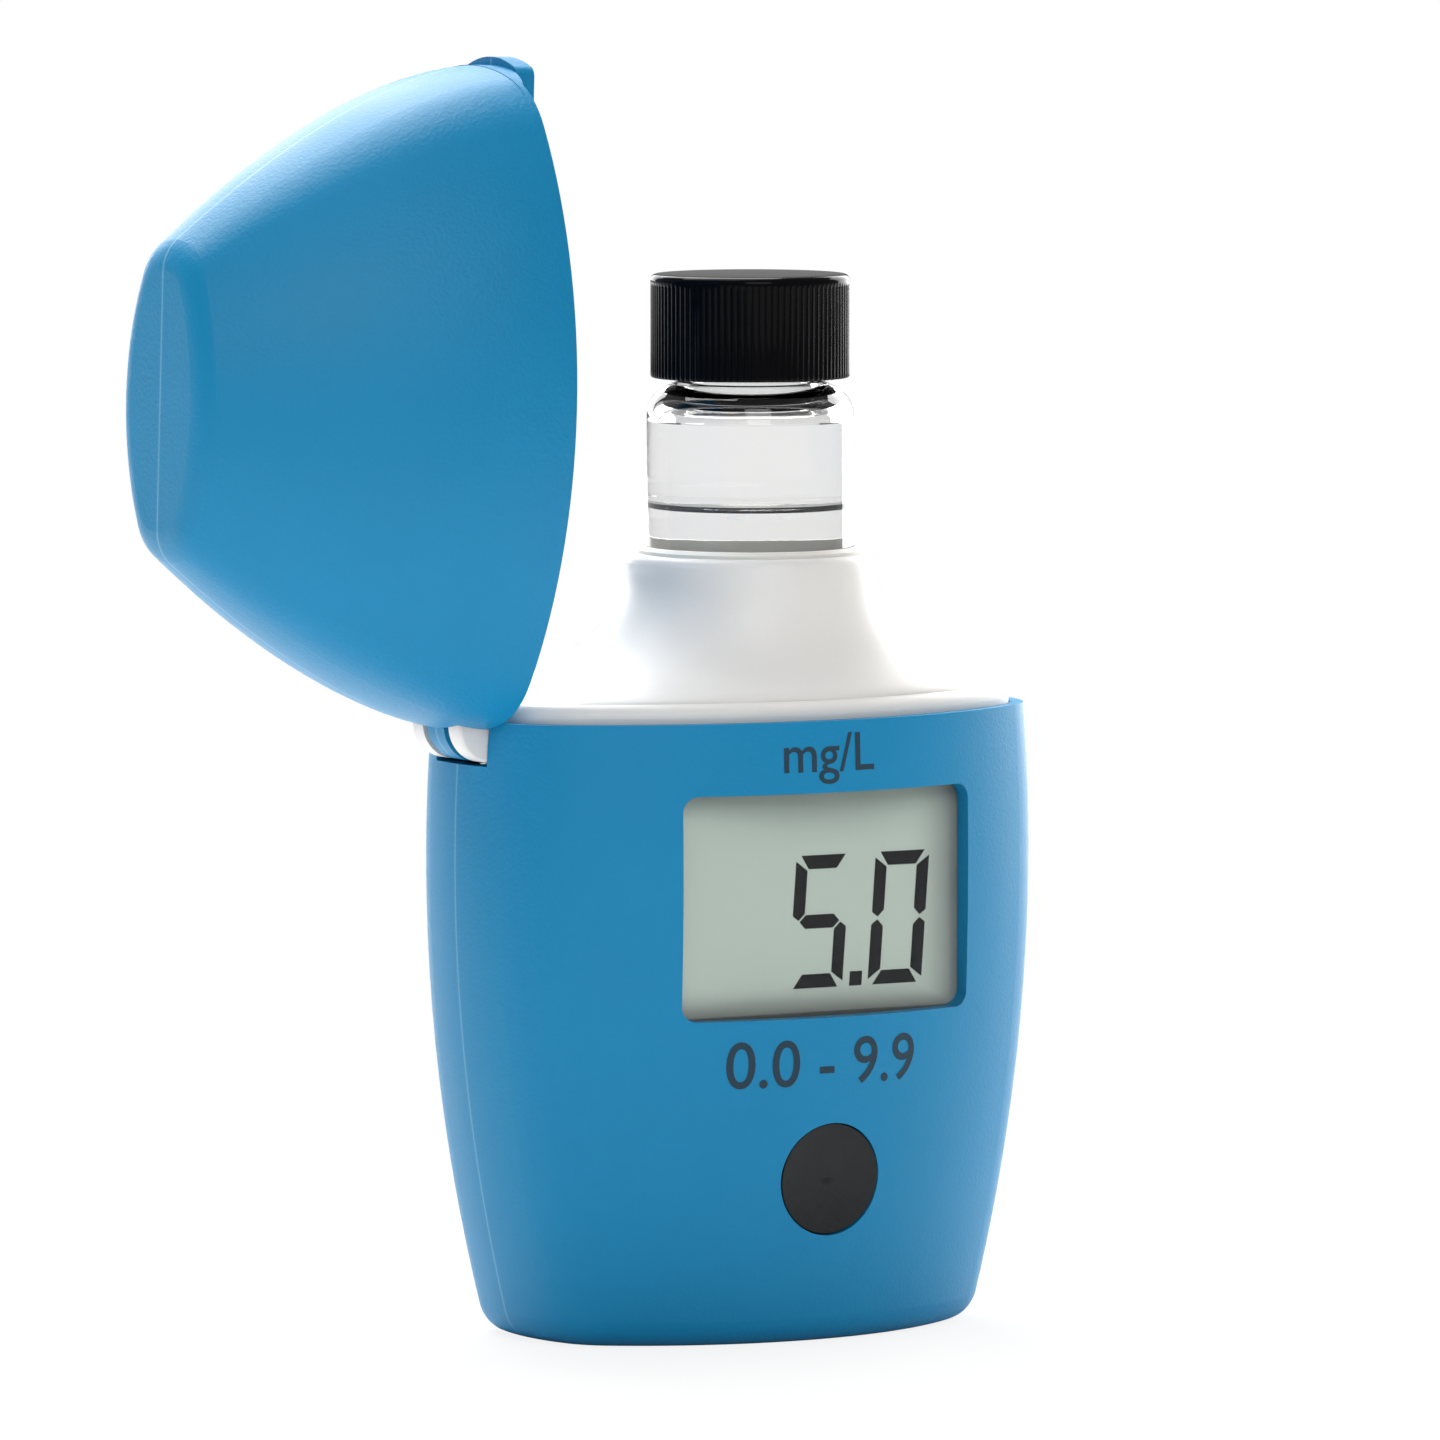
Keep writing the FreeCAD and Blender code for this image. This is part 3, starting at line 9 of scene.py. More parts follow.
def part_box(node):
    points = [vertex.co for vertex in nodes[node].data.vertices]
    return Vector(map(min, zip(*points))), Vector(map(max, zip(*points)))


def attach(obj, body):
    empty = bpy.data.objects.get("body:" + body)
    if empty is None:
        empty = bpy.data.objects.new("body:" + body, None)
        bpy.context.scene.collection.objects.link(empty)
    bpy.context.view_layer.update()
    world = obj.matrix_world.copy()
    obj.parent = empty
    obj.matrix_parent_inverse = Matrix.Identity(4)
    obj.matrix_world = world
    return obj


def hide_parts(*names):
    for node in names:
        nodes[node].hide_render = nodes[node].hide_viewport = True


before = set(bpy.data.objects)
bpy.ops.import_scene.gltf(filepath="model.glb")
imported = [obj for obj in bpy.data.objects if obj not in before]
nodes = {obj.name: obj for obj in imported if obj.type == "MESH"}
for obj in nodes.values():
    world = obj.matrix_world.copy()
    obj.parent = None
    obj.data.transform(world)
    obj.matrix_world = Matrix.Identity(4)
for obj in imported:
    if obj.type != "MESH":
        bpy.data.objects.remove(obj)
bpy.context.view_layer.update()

# Photograph's view: the meter stands on a white table, seen from its front left and slightly above.
# A long lens far away keeps the case's sides nearly parallel, and large soft lamps stand round it.
scene = bpy.context.scene
scene.view_settings.view_transform = "Standard"
VIEW_TURN = math.radians(31.27)
VIEW_DROP = math.radians(4.57)
LENS_MM = 346.3
SENSOR_MM = 36.0
VIEW_REACH = 20.0
VIEW_PLACE = (-0.6522, -1.0726, 0.1556)
camera_data = bpy.data.cameras.new("photo_camera")
camera_data.lens = LENS_MM
camera_data.sensor_width = SENSOR_MM
camera_data.clip_end = VIEW_REACH
camera = bpy.data.objects.new("photo_camera", camera_data)
scene.collection.objects.link(camera)
camera.location = VIEW_PLACE
camera.rotation_euler = (math.pi / 2 - VIEW_DROP, 0, -VIEW_TURN)
scene.camera = camera

SKY_LIGHT = 0.30
SKY_WHITE = 1.0
world = bpy.data.worlds.new("studio_world")
world.use_nodes = True
scene.world = world
world_tree = world.node_tree
world_tree.nodes.clear()
world_out = world_tree.nodes.new("ShaderNodeOutputWorld")
sky_plain = world_tree.nodes.new("ShaderNodeBackground")
sky_plain.inputs["Color"].default_value = (1, 1, 1, 1)
sky_plain.inputs["Strength"].default_value = SKY_LIGHT
sky_seen = world_tree.nodes.new("ShaderNodeBackground")
sky_seen.inputs["Color"].default_value = (1, 1, 1, 1)
sky_seen.inputs["Strength"].default_value = SKY_WHITE
sky_rays = world_tree.nodes.new("ShaderNodeLightPath")
sky_either = world_tree.nodes.new("ShaderNodeMath")
sky_either.operation = "MAXIMUM"
sky_mix = world_tree.nodes.new("ShaderNodeMixShader")
world_tree.links.new(sky_rays.outputs["Is Camera Ray"], sky_either.inputs[0])
world_tree.links.new(sky_rays.outputs["Is Transmission Ray"], sky_either.inputs[1])
world_tree.links.new(sky_either.outputs[0], sky_mix.inputs[0])
world_tree.links.new(sky_plain.outputs[0], sky_mix.inputs[1])
world_tree.links.new(sky_seen.outputs[0], sky_mix.inputs[2])
world_tree.links.new(sky_mix.outputs[0], world_out.inputs["Surface"])


LAMPS_AIM = (0, 0, 0.06)


def softbox(name, place, size, power):
    """A large square lamp that faces the middle of the meter."""
    data = bpy.data.lights.new(name, "AREA")
    data.shape = "SQUARE"
    data.size = size
    data.energy = power
    lamp = bpy.data.objects.new(name, data)
    scene.collection.objects.link(lamp)
    lamp.location = place
    lamp.rotation_euler = (Vector(LAMPS_AIM) - Vector(place)).to_track_quat("-Z", "Y").to_euler()


softbox("softbox_left", place=(0.20, 1.35, 0.40), size=0.7, power=6.0)
softbox("softbox_right", place=(1.10, 0.50, 0.35), size=1.0, power=21.0)
softbox("softbox_behind", place=(0.35, 1.10, 1.05), size=0.8, power=12.0)
softbox("softbox_top", place=(-0.10, 0.40, 1.20), size=1.0, power=17.0)
softbox("softbox_front", place=(-0.60, -1.55, 0.90), size=0.9, power=9.5)

# Table: a plain white sheet that fades into the white behind it and keeps a faint shadow.
# It ends a little in front of the meter, so that the upright front does not mirror it.
FLOOR_FAR = 8.0
FLOOR_NEAR = 0.45
FLOOR_FADE_FROM = 0.03
FLOOR_FADE_TO = 0.20
FLOOR_GLOW = 0.86
FLOOR_WHITE = (0.86, 0.86, 0.86, 1)
floor_mesh = bpy.data.meshes.new("table_top")
floor_mesh.from_pydata(
    [
        (-FLOOR_FAR, -FLOOR_NEAR, 0), (FLOOR_FAR, -FLOOR_NEAR, 0),
        (FLOOR_FAR, FLOOR_FAR, 0), (-FLOOR_FAR, FLOOR_FAR, 0),
    ],
    [], [(0, 1, 2, 3)],
)
floor = bpy.data.objects.new("table_top", floor_mesh)
scene.collection.objects.link(floor)
floor_look = bpy.data.materials.new("white_table")
floor_look.use_nodes = True
floor_tree = floor_look.node_tree
floor_base = floor_tree.nodes["Principled BSDF"]
floor_base.inputs["Base Color"].default_value = FLOOR_WHITE
floor_base.inputs["Roughness"].default_value = 0.8
floor_glow = floor_tree.nodes.new("ShaderNodeEmission")
floor_glow.inputs["Strength"].default_value = 1.0
floor_rays = floor_tree.nodes.new("ShaderNodeLightPath")
floor_seen = floor_tree.nodes.new("ShaderNodeMath")
floor_seen.operation = "MAXIMUM"
floor_tree.links.new(floor_rays.outputs["Is Camera Ray"], floor_seen.inputs[0])
floor_tree.links.new(floor_rays.outputs["Is Transmission Ray"], floor_seen.inputs[1])
floor_place = floor_tree.nodes.new("ShaderNodeTexCoord")
floor_reach = floor_tree.nodes.new("ShaderNodeVectorMath")
floor_reach.operation = "LENGTH"
floor_fade = floor_tree.nodes.new("ShaderNodeMapRange")
floor_fade.interpolation_type = "SMOOTHSTEP"
floor_fade.inputs["From Min"].default_value = FLOOR_FADE_FROM
floor_fade.inputs["From Max"].default_value = FLOOR_FADE_TO
floor_fade.inputs["To Min"].default_value = FLOOR_GLOW
floor_share = floor_tree.nodes.new("ShaderNodeMath")
floor_share.operation = "MULTIPLY"
floor_tree.links.new(floor_place.outputs["Object"], floor_reach.inputs[0])
floor_tree.links.new(floor_reach.outputs["Value"], floor_fade.inputs["Value"])
floor_tree.links.new(floor_seen.outputs[0], floor_share.inputs[0])
floor_tree.links.new(floor_fade.outputs[0], floor_share.inputs[1])
floor_mix = floor_tree.nodes.new("ShaderNodeMixShader")
floor_tree.links.new(floor_share.outputs[0], floor_mix.inputs[0])
floor_tree.links.new(floor_base.outputs[0], floor_mix.inputs[1])
floor_tree.links.new(floor_glow.outputs[0], floor_mix.inputs[2])
floor_tree.links.new(floor_mix.outputs[0], floor_tree.nodes["Material Output"].inputs["Surface"])
floor_mesh.materials.append(floor_look)

# Case: two moulded halves in blue satin plastic with a fine spark-eroded grain.
# They meet at a hairline joint down both sides, painted in a paler blue as a highlight on its edge,
# and a thin bright edge runs round the rim.
CASE_BLUE = (0.003, 0.215, 0.430, 1)


def group(name, inputs, outputs):
    """An empty shader group with float, colour or vector sockets."""
    tree = bpy.data.node_groups.new(name, "ShaderNodeTree")
    for label, kind, value in inputs:
        socket = tree.interface.new_socket(label, in_out="INPUT", socket_type=kind)
        if value is not None:
            socket.default_value = value
    for label, kind in outputs:
        tree.interface.new_socket(label, in_out="OUTPUT", socket_type=kind)
    return tree, tree.nodes.new("NodeGroupInput"), tree.nodes.new("NodeGroupOutput")


def math_node(tree, operation, one, two=None, clamp=False):
    """A maths node whose operands are sockets or numbers."""
    node = tree.nodes.new("ShaderNodeMath")
    node.operation = operation
    node.use_clamp = clamp
    for index, value in enumerate((one, two)):
        if value is None:
            continue
        if isinstance(value, (int, float)):
            node.inputs[index].default_value = value
        else:
            tree.links.new(value, node.inputs[index])
    return node.outputs[0]


# Fine moulding grain: a height for the bump and a slow patchiness for gloss and colour
grain_group, grain_in, grain_out = group(
    "moulding_grain",
    [("Grain per metre", "NodeSocketFloat", 5000.0)],
    [("Height", "NodeSocketFloat"), ("Patches", "NodeSocketFloat")],
)
grain_place = grain_group.nodes.new("ShaderNodeTexCoord")
grain_noise = grain_group.nodes.new("ShaderNodeTexNoise")
grain_noise.inputs["Detail"].default_value = 3.0
grain_noise.inputs["Roughness"].default_value = 0.6
grain_patch = grain_group.nodes.new("ShaderNodeTexNoise")
grain_patch.inputs["Scale"].default_value = 90.0
grain_patch.inputs["Detail"].default_value = 4.0
grain_group.links.new(grain_place.outputs["Object"], grain_noise.inputs["Vector"])
grain_group.links.new(grain_in.outputs["Grain per metre"], grain_noise.inputs["Scale"])
grain_group.links.new(grain_place.outputs["Object"], grain_patch.inputs["Vector"])
grain_group.links.new(grain_noise.outputs["Fac"], grain_out.inputs["Height"])
grain_group.links.new(grain_patch.outputs["Fac"], grain_out.inputs["Patches"])


def moulded(name, colour, roughness, grain, depth, spread=0.05, shade=0.06, shine=0.5):
    """A moulded plastic: grain as bump, with slight patches of gloss and tone."""
    look = bpy.data.materials.new(name)
    look.use_nodes = True
    tree = look.node_tree
    shader = tree.nodes["Principled BSDF"]
    shader.inputs["Specular IOR Level"].default_value = shine
    texture = tree.nodes.new("ShaderNodeGroup")
    texture.node_tree = grain_group
    texture.inputs["Grain per metre"].default_value = grain
    bump = tree.nodes.new("ShaderNodeBump")
    bump.inputs["Strength"].default_value = 1.0
    bump.inputs["Distance"].default_value = depth
    tree.links.new(texture.outputs["Height"], bump.inputs["Height"])
    tree.links.new(bump.outputs["Normal"], shader.inputs["Normal"])
    gloss = tree.nodes.new("ShaderNodeMapRange")
    gloss.inputs["To Min"].default_value = roughness - spread
    gloss.inputs["To Max"].default_value = roughness + spread
    tree.links.new(texture.outputs["Patches"], gloss.inputs["Value"])
    tree.links.new(gloss.outputs[0], shader.inputs["Roughness"])
    tone = tree.nodes.new("ShaderNodeMix")
    tone.data_type = "RGBA"
    tone.inputs["A"].default_value = tuple(c * (1 - shade) for c in colour[:3]) + (1,)
    tone.inputs["B"].default_value = tuple(min(1, c * (1 + shade)) for c in colour[:3]) + (1,)
    tree.links.new(texture.outputs["Patches"], tone.inputs["Factor"])
    tree.links.new(tone.outputs["Result"], shader.inputs["Base Color"])
    return look


# Parting line: a mask that is 1 on a hairline where a coordinate is zero
seam_group, seam_in, seam_out = group(
    "parting_line",
    [("Half width", "NodeSocketFloat", 0.0001)],
    [("Line", "NodeSocketFloat")],
)
seam_place = seam_group.nodes.new("ShaderNodeTexCoord")
seam_split = seam_group.nodes.new("ShaderNodeSeparateXYZ")
seam_group.links.new(seam_place.outputs["Object"], seam_split.inputs[0])
seam_far = math_node(seam_group, "ABSOLUTE", seam_split.outputs["Y"])
seam_share = math_node(seam_group, "DIVIDE", seam_far, seam_in.outputs["Half width"])
seam_line = math_node(seam_group, "SUBTRACT", 1.0, seam_share, clamp=True)
seam_group.links.new(seam_line, seam_out.inputs["Line"])


def with_seam(look, half_width, colour, share):
    """Adds the parting line to a moulded material as a hairline of another tone, used as a painted
    highlight on the joint.
    """
    tree = look.node_tree
    shader = tree.nodes["Principled BSDF"]
    seam = tree.nodes.new("ShaderNodeGroup")
    seam.node_tree = seam_group
    seam.inputs["Half width"].default_value = half_width
    colour_from = shader.inputs["Base Color"].links[0].from_socket
    line = tree.nodes.new("ShaderNodeMix")
    line.data_type = "RGBA"
    line.inputs["B"].default_value = colour
    tree.links.new(math_node(tree, "MULTIPLY", seam.outputs["Line"], share), line.inputs["Factor"])
    tree.links.new(colour_from, line.inputs["A"])
    tree.links.new(line.outputs["Result"], shader.inputs["Base Color"])
    return look


def dress(node, look):
    """Gives a CAD node its material."""
    slots = nodes[node].data.materials
    slots.clear()
    slots.append(look)


# Painted highlight: the joint line's paler blue stands in for light catching its edge
SEAM_PAINTED_HIGHLIGHT = (0.16, 0.40, 0.58, 1)
SEAM_HALF_WIDTH = 0.0002
case_plastic = with_seam(
    moulded(
        "case_blue_plastic", CASE_BLUE, roughness=0.44, grain=2900.0, depth=0.00004, shine=0.24
    ),
    SEAM_HALF_WIDTH, SEAM_PAINTED_HIGHLIGHT, share=0.7,
)
for node in ("front_shell", "rear_shell", "battery_door"):
    dress(node, case_plastic)

# Neck: one white satin plastic moulding that flares from the case's rim up to a round collar.
# It drops into the rim and carries the two hinge ears on its left.
NECK_WHITE = (0.76, 0.745, 0.72, 1)
neck_plastic = moulded(
    "neck_white_plastic", NECK_WHITE, roughness=0.40, grain=3400.0, depth=0.00001,
    spread=0.04, shade=0.012,
)
dress("neck_insert", neck_plastic)

# Seal: a soft cream rubber ring that keeps stray light out of the well.
# It is pressed into the top of the collar, close round the glass.
SEAL_CREAM = (0.80, 0.78, 0.72, 1)
seal_rubber = moulded("seal_cream_rubber", SEAL_CREAM, roughness=0.55, grain=3000.0, depth=0.00001)
dress("seal_ring", seal_rubber)


# Hinge pin, screws, spring and cell contacts: small steel parts with a bright plated finish.
# The pin and screws are turned, the spring is coiled from drawn wire, the contacts are stamped.
def plated(name, colour, roughness):
    """Drawn or plated steel with very fine marks."""
    look = moulded(
        name, colour, roughness, grain=9000.0, depth=0.000004, spread=0.08, shade=0.10
    )
    look.node_tree.nodes["Principled BSDF"].inputs["Metallic"].default_value = 1.0
    return look


PIN_STEEL = (0.62, 0.62, 0.63, 1)
SPRING_STEEL = (0.55, 0.55, 0.57, 1)
NICKEL = (0.70, 0.68, 0.62, 1)
pin_steel = plated("hinge_pin_steel", PIN_STEEL, roughness=0.30)
for node in ("hinge_pin", "door_screw", "shell_screw_upper", "shell_screw_lower"):
    dress(node, pin_steel)
spring_steel = plated("spring_wire_steel", SPRING_STEEL, roughness=0.35)
dress("seat_spring", spring_steel)
contact_plate = plated("nickel_contact", NICKEL, roughness=0.28)
for node in ("battery_contact_lower", "battery_contact_upper"):
    dress(node, contact_plate)

# Well, seat and the two optical blocks: matt black mouldings that keep stray light off the detector.
# The blocks sit on the well's sides, and the seat slides inside it on the spring.
WELL_BLACK = (0.012, 0.012, 0.013, 1)
well_plastic = moulded(
    "well_black_plastic", WELL_BLACK, roughness=0.6, grain=5000.0, depth=0.00002
)
for node in ("vial_well", "vial_seat", "led_holder", "detector_holder"):
    dress(node, well_plastic)

# Chip, detector and switch: small packages moulded in black resin.
# The chip and the switch are soldered to the board, the detector sits in its block.
CHIP_BLACK = (0.015, 0.015, 0.016, 1)
chip_resin = moulded("chip_black_resin", CHIP_BLACK, roughness=0.5, grain=7000.0, depth=0.00001)
for node in ("controller_chip", "photodiode", "tact_switch"):
    dress(node, chip_resin)

# Lamp and filter: a small lamp cast in pale resin, and a thin coated glass disc.
# They face each other across the well, each in the bore of its block.
LAMP_PALE = (0.75, 0.74, 0.66, 1)
FILTER_VIOLET = (0.16, 0.08, 0.25, 1)
lamp_resin = moulded("lamp_clear_resin", LAMP_PALE, roughness=0.15, grain=2000.0, depth=0.000002)
dress("led_emitter", lamp_resin)
filter_coat = moulded(
    "filter_coating", FILTER_VIOLET, roughness=0.12, grain=2000.0, depth=0.000001
)
dress("band_filter", filter_coat)

# Board, display frame and contact strips: a green lacquered laminate, a grey plastic moulding
# and two layered rubber strips that join the display to the board.
BOARD_GREEN = (0.01, 0.10, 0.04, 1)
FRAME_GREY = (0.10, 0.10, 0.105, 1)
STRIP_PINK = (0.55, 0.25, 0.30, 1)
board_coat = moulded(
    "circuit_board_green", BOARD_GREEN, roughness=0.35, grain=2500.0, depth=0.00001,
    spread=0.05, shade=0.2,
)
dress("circuit_board", board_coat)
frame_plastic = moulded(
    "display_frame_grey", FRAME_GREY, roughness=0.5, grain=4000.0, depth=0.00001
)
dress("display_frame", frame_plastic)
strip_rubber = moulded(
    "contact_strip_rubber", STRIP_PINK, roughness=0.6, grain=2500.0, depth=0.00001
)
for node in ("contact_strip_upper", "contact_strip_lower"):
    dress(node, strip_rubber)

# Cell: a small round cell in a shrunk dark film sleeve.
# It stands between its two contacts behind the battery door.
SLEEVE_DARK = (0.03, 0.03, 0.035, 1)
cell_sleeve = moulded(
    "cell_sleeve", SLEEVE_DARK, roughness=0.3, grain=1200.0, depth=0.000004,
    spread=0.05, shade=0.3,
)
dress("battery", cell_sleeve)

# Lid: the same blue satin plastic as the case, moulded in one piece with its knuckle and thumb tab.
# It turns on the hinge pin between the neck's ears, and shows the same joint line, painted pale as a
# highlight.
lid_plastic = with_seam(
    moulded(
        "lid_blue_plastic", CASE_BLUE, roughness=0.42, grain=2700.0, depth=0.00006, shine=0.27
    ),
    SEAM_HALF_WIDTH, SEAM_PAINTED_HIGHLIGHT, share=0.8,
)
dress("lid", lid_plastic)


# Vial: clear glass blown with a round shoulder and a short neck, with two white enamel ticks.
# It stands on the sprung seat, part filled with water that climbs a little at the wall.
MM = 0.001
VIAL_WALL = 1.1 * MM
VIAL_FLOOR = 1.4 * MM
VIAL_NECK = 6.7 * MM
VIAL_NECK_RISE = 8.5 * MM
VIAL_LIP = 0.45 * MM
VIAL_SHOULDER_ROUND = 3.0 * MM
VIAL_FOOT_ROUND = 1.3 * MM
VIAL_FOOT_RING = 0.3 * MM
VIAL_FOOT_BEVEL = 0.2 * MM
VIAL_FLOOR_CROWN = 0.3 * MM
VIAL_NECK_ROOT = 0.5 * MM
VIAL_NECK_STEP = 0.2 * MM
VIAL_THROAT_ROUND = 1.0 * MM
VIAL_THROAT_DROP = 0.5 * MM
VIAL_TINT = (0.86, 0.86, 0.855, 1)
WATER_RISE = 46.6 * MM
WATER_GAP = 0.04 * MM
WATER_FLOOR_GAP = 0.4 * MM
WATER_TINT = (0.985, 0.985, 0.985, 1)
WET_TINT = (0.90, 0.91, 0.91, 1)
WET_COVER = 0.03
MENISCUS = 1.1 * MM
MENISCUS_TIP = 0.15 * MM
MENISCUS_ROUND = 0.5 * MM
TICK_RISE = 46.2 * MM
TICK_HEIGHT = 0.22 * MM
TICK_PROUD = 0.03 * MM
TICK_STEPS = 12
TICK_WHITE = (0.86, 0.86, 0.85, 1)
GLASS_WAVES = 160.0
GLASS_HAZE = 0.03
LATHE_STEPS = 128

vial_low, vial_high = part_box("sample_vial")
VIAL_RADIUS = (vial_high[0] - vial_low[0]) / 2
VIAL_AXIS = Vector(((vial_low[0] + vial_high[0]) / 2, (vial_low[1] + vial_high[1]) / 2, 0))
VIAL_FACING = math.atan2(camera.location.y, camera.location.x)


def soft_profile(corners, steps=7):
    """Profile points (radius, height) whose corners (radius, height, rounding) turn on arcs."""
    points = []
    count = len(corners)
    for index, (across, up, rounding) in enumerate(corners):
        here = Vector((across, up))
        if rounding == 0:
            points.append(here)
            continue
        before = Vector(corners[index - 1][:2])
        after = Vector(corners[(index + 1) % count][:2])
        along = (here - before).normalized()
        onward = (after - here).normalized()
        turn = along.angle(onward)
        inward = (onward - along * along.dot(onward)).normalized()
        start = here - along * rounding * math.tan(turn / 2)
        for step in range(steps + 1):
            angle = turn * step / steps
            points.append(
                start + along * rounding * math.sin(angle) + inward * rounding * (1 - math.cos(angle))
            )
    return points


def lathe(name, profile, centre, steps=LATHE_STEPS, flute=None):
    """A mesh turned about a vertical axis. flute gives a cut depth at an angle and height."""
    shape = bmesh.new()
    rings = []
    for across, up in profile:
        if across < 1e-7:
            rings.append([shape.verts.new((centre.x, centre.y, up))])
            continue
        ring = []
        for step in range(steps):
            angle = 2 * math.pi * step / steps
            radius = across - (flute(angle, across, up) if flute else 0)
            ring.append(shape.verts.new(
                (centre.x + radius * math.cos(angle), centre.y + radius * math.sin(angle), up)
            ))
        rings.append(ring)
    for lower, upper in zip(rings, rings[1:]):
        for step in range(steps):
            corners = []
            for vert in (
                lower[step % len(lower)], lower[(step + 1) % len(lower)],
                upper[(step + 1) % len(upper)], upper[step % len(upper)],
            ):
                if vert not in corners:
                    corners.append(vert)
            if len(corners) > 2:
                shape.faces.new(corners)
    bmesh.ops.recalc_face_normals(shape, faces=shape.faces)
    for face in shape.faces:
        face.smooth = True
    mesh = bpy.data.meshes.new(name)
    shape.to_mesh(mesh)
    shape.free()
    return mesh


def piece(name, mesh, look, body):
    """A finished piece: linked, dressed and riding on its body."""
    thing = bpy.data.objects.new(name, mesh)
    scene.collection.objects.link(thing)
    mesh.materials.clear()
    mesh.materials.append(look)
    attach(thing, body)
    return thing


def clear(name, colour, ior, waviness, shadow=0.0, shine=0.5):
    """Clear glass, plastic or liquid: faint waves, and light passes it into what lies behind."""
    look = bpy.data.materials.new(name)
    look.use_nodes = True
    tree = look.node_tree
    shader = tree.nodes["Principled BSDF"]
    shader.inputs["Base Color"].default_value = colour
    shader.inputs["IOR"].default_value = ior
    shader.inputs["Specular IOR Level"].default_value = shine
    shader.inputs["Transmission Weight"].default_value = 1.0
    texture = tree.nodes.new("ShaderNodeGroup")
    texture.node_tree = grain_group
    texture.inputs["Grain per metre"].default_value = GLASS_WAVES
    bump = tree.nodes.new("ShaderNodeBump")
    bump.inputs["Distance"].default_value = waviness
    tree.links.new(texture.outputs["Height"], bump.inputs["Height"])
    tree.links.new(bump.outputs["Normal"], shader.inputs["Normal"])
    gloss = tree.nodes.new("ShaderNodeMapRange")
    gloss.inputs["To Min"].default_value = 0.0
    gloss.inputs["To Max"].default_value = GLASS_HAZE
    tree.links.new(texture.outputs["Patches"], gloss.inputs["Value"])
    tree.links.new(gloss.outputs[0], shader.inputs["Roughness"])
    open_air = tree.nodes.new("ShaderNodeBsdfTransparent")
    open_air.inputs["Color"].default_value = (1 - shadow, 1 - shadow, 1 - shadow, 1)
    rays = tree.nodes.new("ShaderNodeLightPath")
    pass_by = tree.nodes.new("ShaderNodeMixShader")
    tree.links.new(rays.outputs["Is Shadow Ray"], pass_by.inputs[0])
    tree.links.new(shader.outputs[0], pass_by.inputs[1])
    tree.links.new(open_air.outputs[0], pass_by.inputs[2])
    tree.links.new(pass_by.outputs[0], tree.nodes["Material Output"].inputs["Surface"])
    return look


vial_base = vial_low[2]
vial_mouth = vial_high[2]
vial_shoulder = vial_mouth - VIAL_NECK_RISE
vial_bore = VIAL_NECK - VIAL_WALL
vial_hollow = VIAL_RADIUS - VIAL_WALL
vial_mesh = lathe("vial_glass_body", soft_profile([
    (0, vial_base + VIAL_FOOT_ROUND / 2, 0),
    (VIAL_RADIUS - VIAL_FOOT_ROUND, vial_base, VIAL_FOOT_RING),
    (VIAL_RADIUS, vial_base + VIAL_FOOT_BEVEL, VIAL_FOOT_ROUND),
    (VIAL_RADIUS, vial_shoulder, VIAL_SHOULDER_ROUND),
    (VIAL_NECK, vial_shoulder + VIAL_NECK_STEP, VIAL_NECK_ROOT),
    (VIAL_NECK, vial_mouth, VIAL_LIP),
    (vial_bore, vial_mouth, VIAL_LIP),
    (vial_bore, vial_shoulder - VIAL_WALL - VIAL_NECK_STEP, VIAL_THROAT_ROUND),
    (vial_hollow, vial_shoulder - VIAL_WALL - VIAL_THROAT_DROP, VIAL_SHOULDER_ROUND - VIAL_WALL),
    (vial_hollow, vial_base + VIAL_FLOOR, VIAL_FOOT_ROUND),
    (0, vial_base + VIAL_FLOOR + VIAL_FLOOR_CROWN, 0),
]), VIAL_AXIS)
vial_glass = clear("vial_clear_glass", VIAL_TINT, ior=1.47, waviness=0.00003, shadow=0.06)

# Where water wets the glass the two nearly match, so that face hardly shows
wet_wall = moulded(
    "vial_wet_wall", WET_TINT, roughness=0.15, grain=GLASS_WAVES, depth=0.000004, shine=0.1
)
wet_wall.node_tree.nodes["Principled BSDF"].inputs["Alpha"].default_value = WET_COVER
vial_piece = piece("vial_glass_body", vial_mesh, vial_glass, "vial")
vial_mesh.materials.append(wet_wall)
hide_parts("sample_vial")

water_top = vial_base + WATER_RISE
for face in vial_mesh.polygons:
    out = (Vector((face.center.x, face.center.y, 0)) - VIAL_AXIS).length
    wetted = vial_base + 0.8 * VIAL_FLOOR < face.center.z < water_top + MENISCUS / 2
    if wetted and out < vial_hollow + VIAL_WALL / 4:
        face.material_index = 1
water_side = vial_hollow - WATER_GAP
water_mesh = lathe("vial_water", soft_profile([
    (0, vial_base + VIAL_FLOOR + WATER_FLOOR_GAP, 0),
    (water_side, vial_base + VIAL_FLOOR + WATER_GAP, VIAL_FOOT_ROUND),
    (water_side, water_top + MENISCUS / 2, 0),
    (vial_hollow - MENISCUS_TIP, water_top + MENISCUS / 3, 0),
    (vial_hollow - MENISCUS / 2, water_top, MENISCUS_ROUND),
    (0, water_top - MENISCUS / 6, 0),
]), VIAL_AXIS)
sample_water = clear("sample_water", WATER_TINT, ior=1.333, waviness=0.000004, shadow=0.03)
water_piece = piece("vial_water", water_mesh, sample_water, "vial")
water_mesh.materials.append(wet_wall)
for face in water_mesh.polygons:
    if face.center.z < water_top - 0.6 * MENISCUS or abs(face.normal.z) < 0.2:
        face.material_index = 1
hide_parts("sample_liquid")

tick_enamel = moulded(
    "tick_white_enamel", TICK_WHITE, roughness=0.35, grain=6000.0, depth=0.000003
)


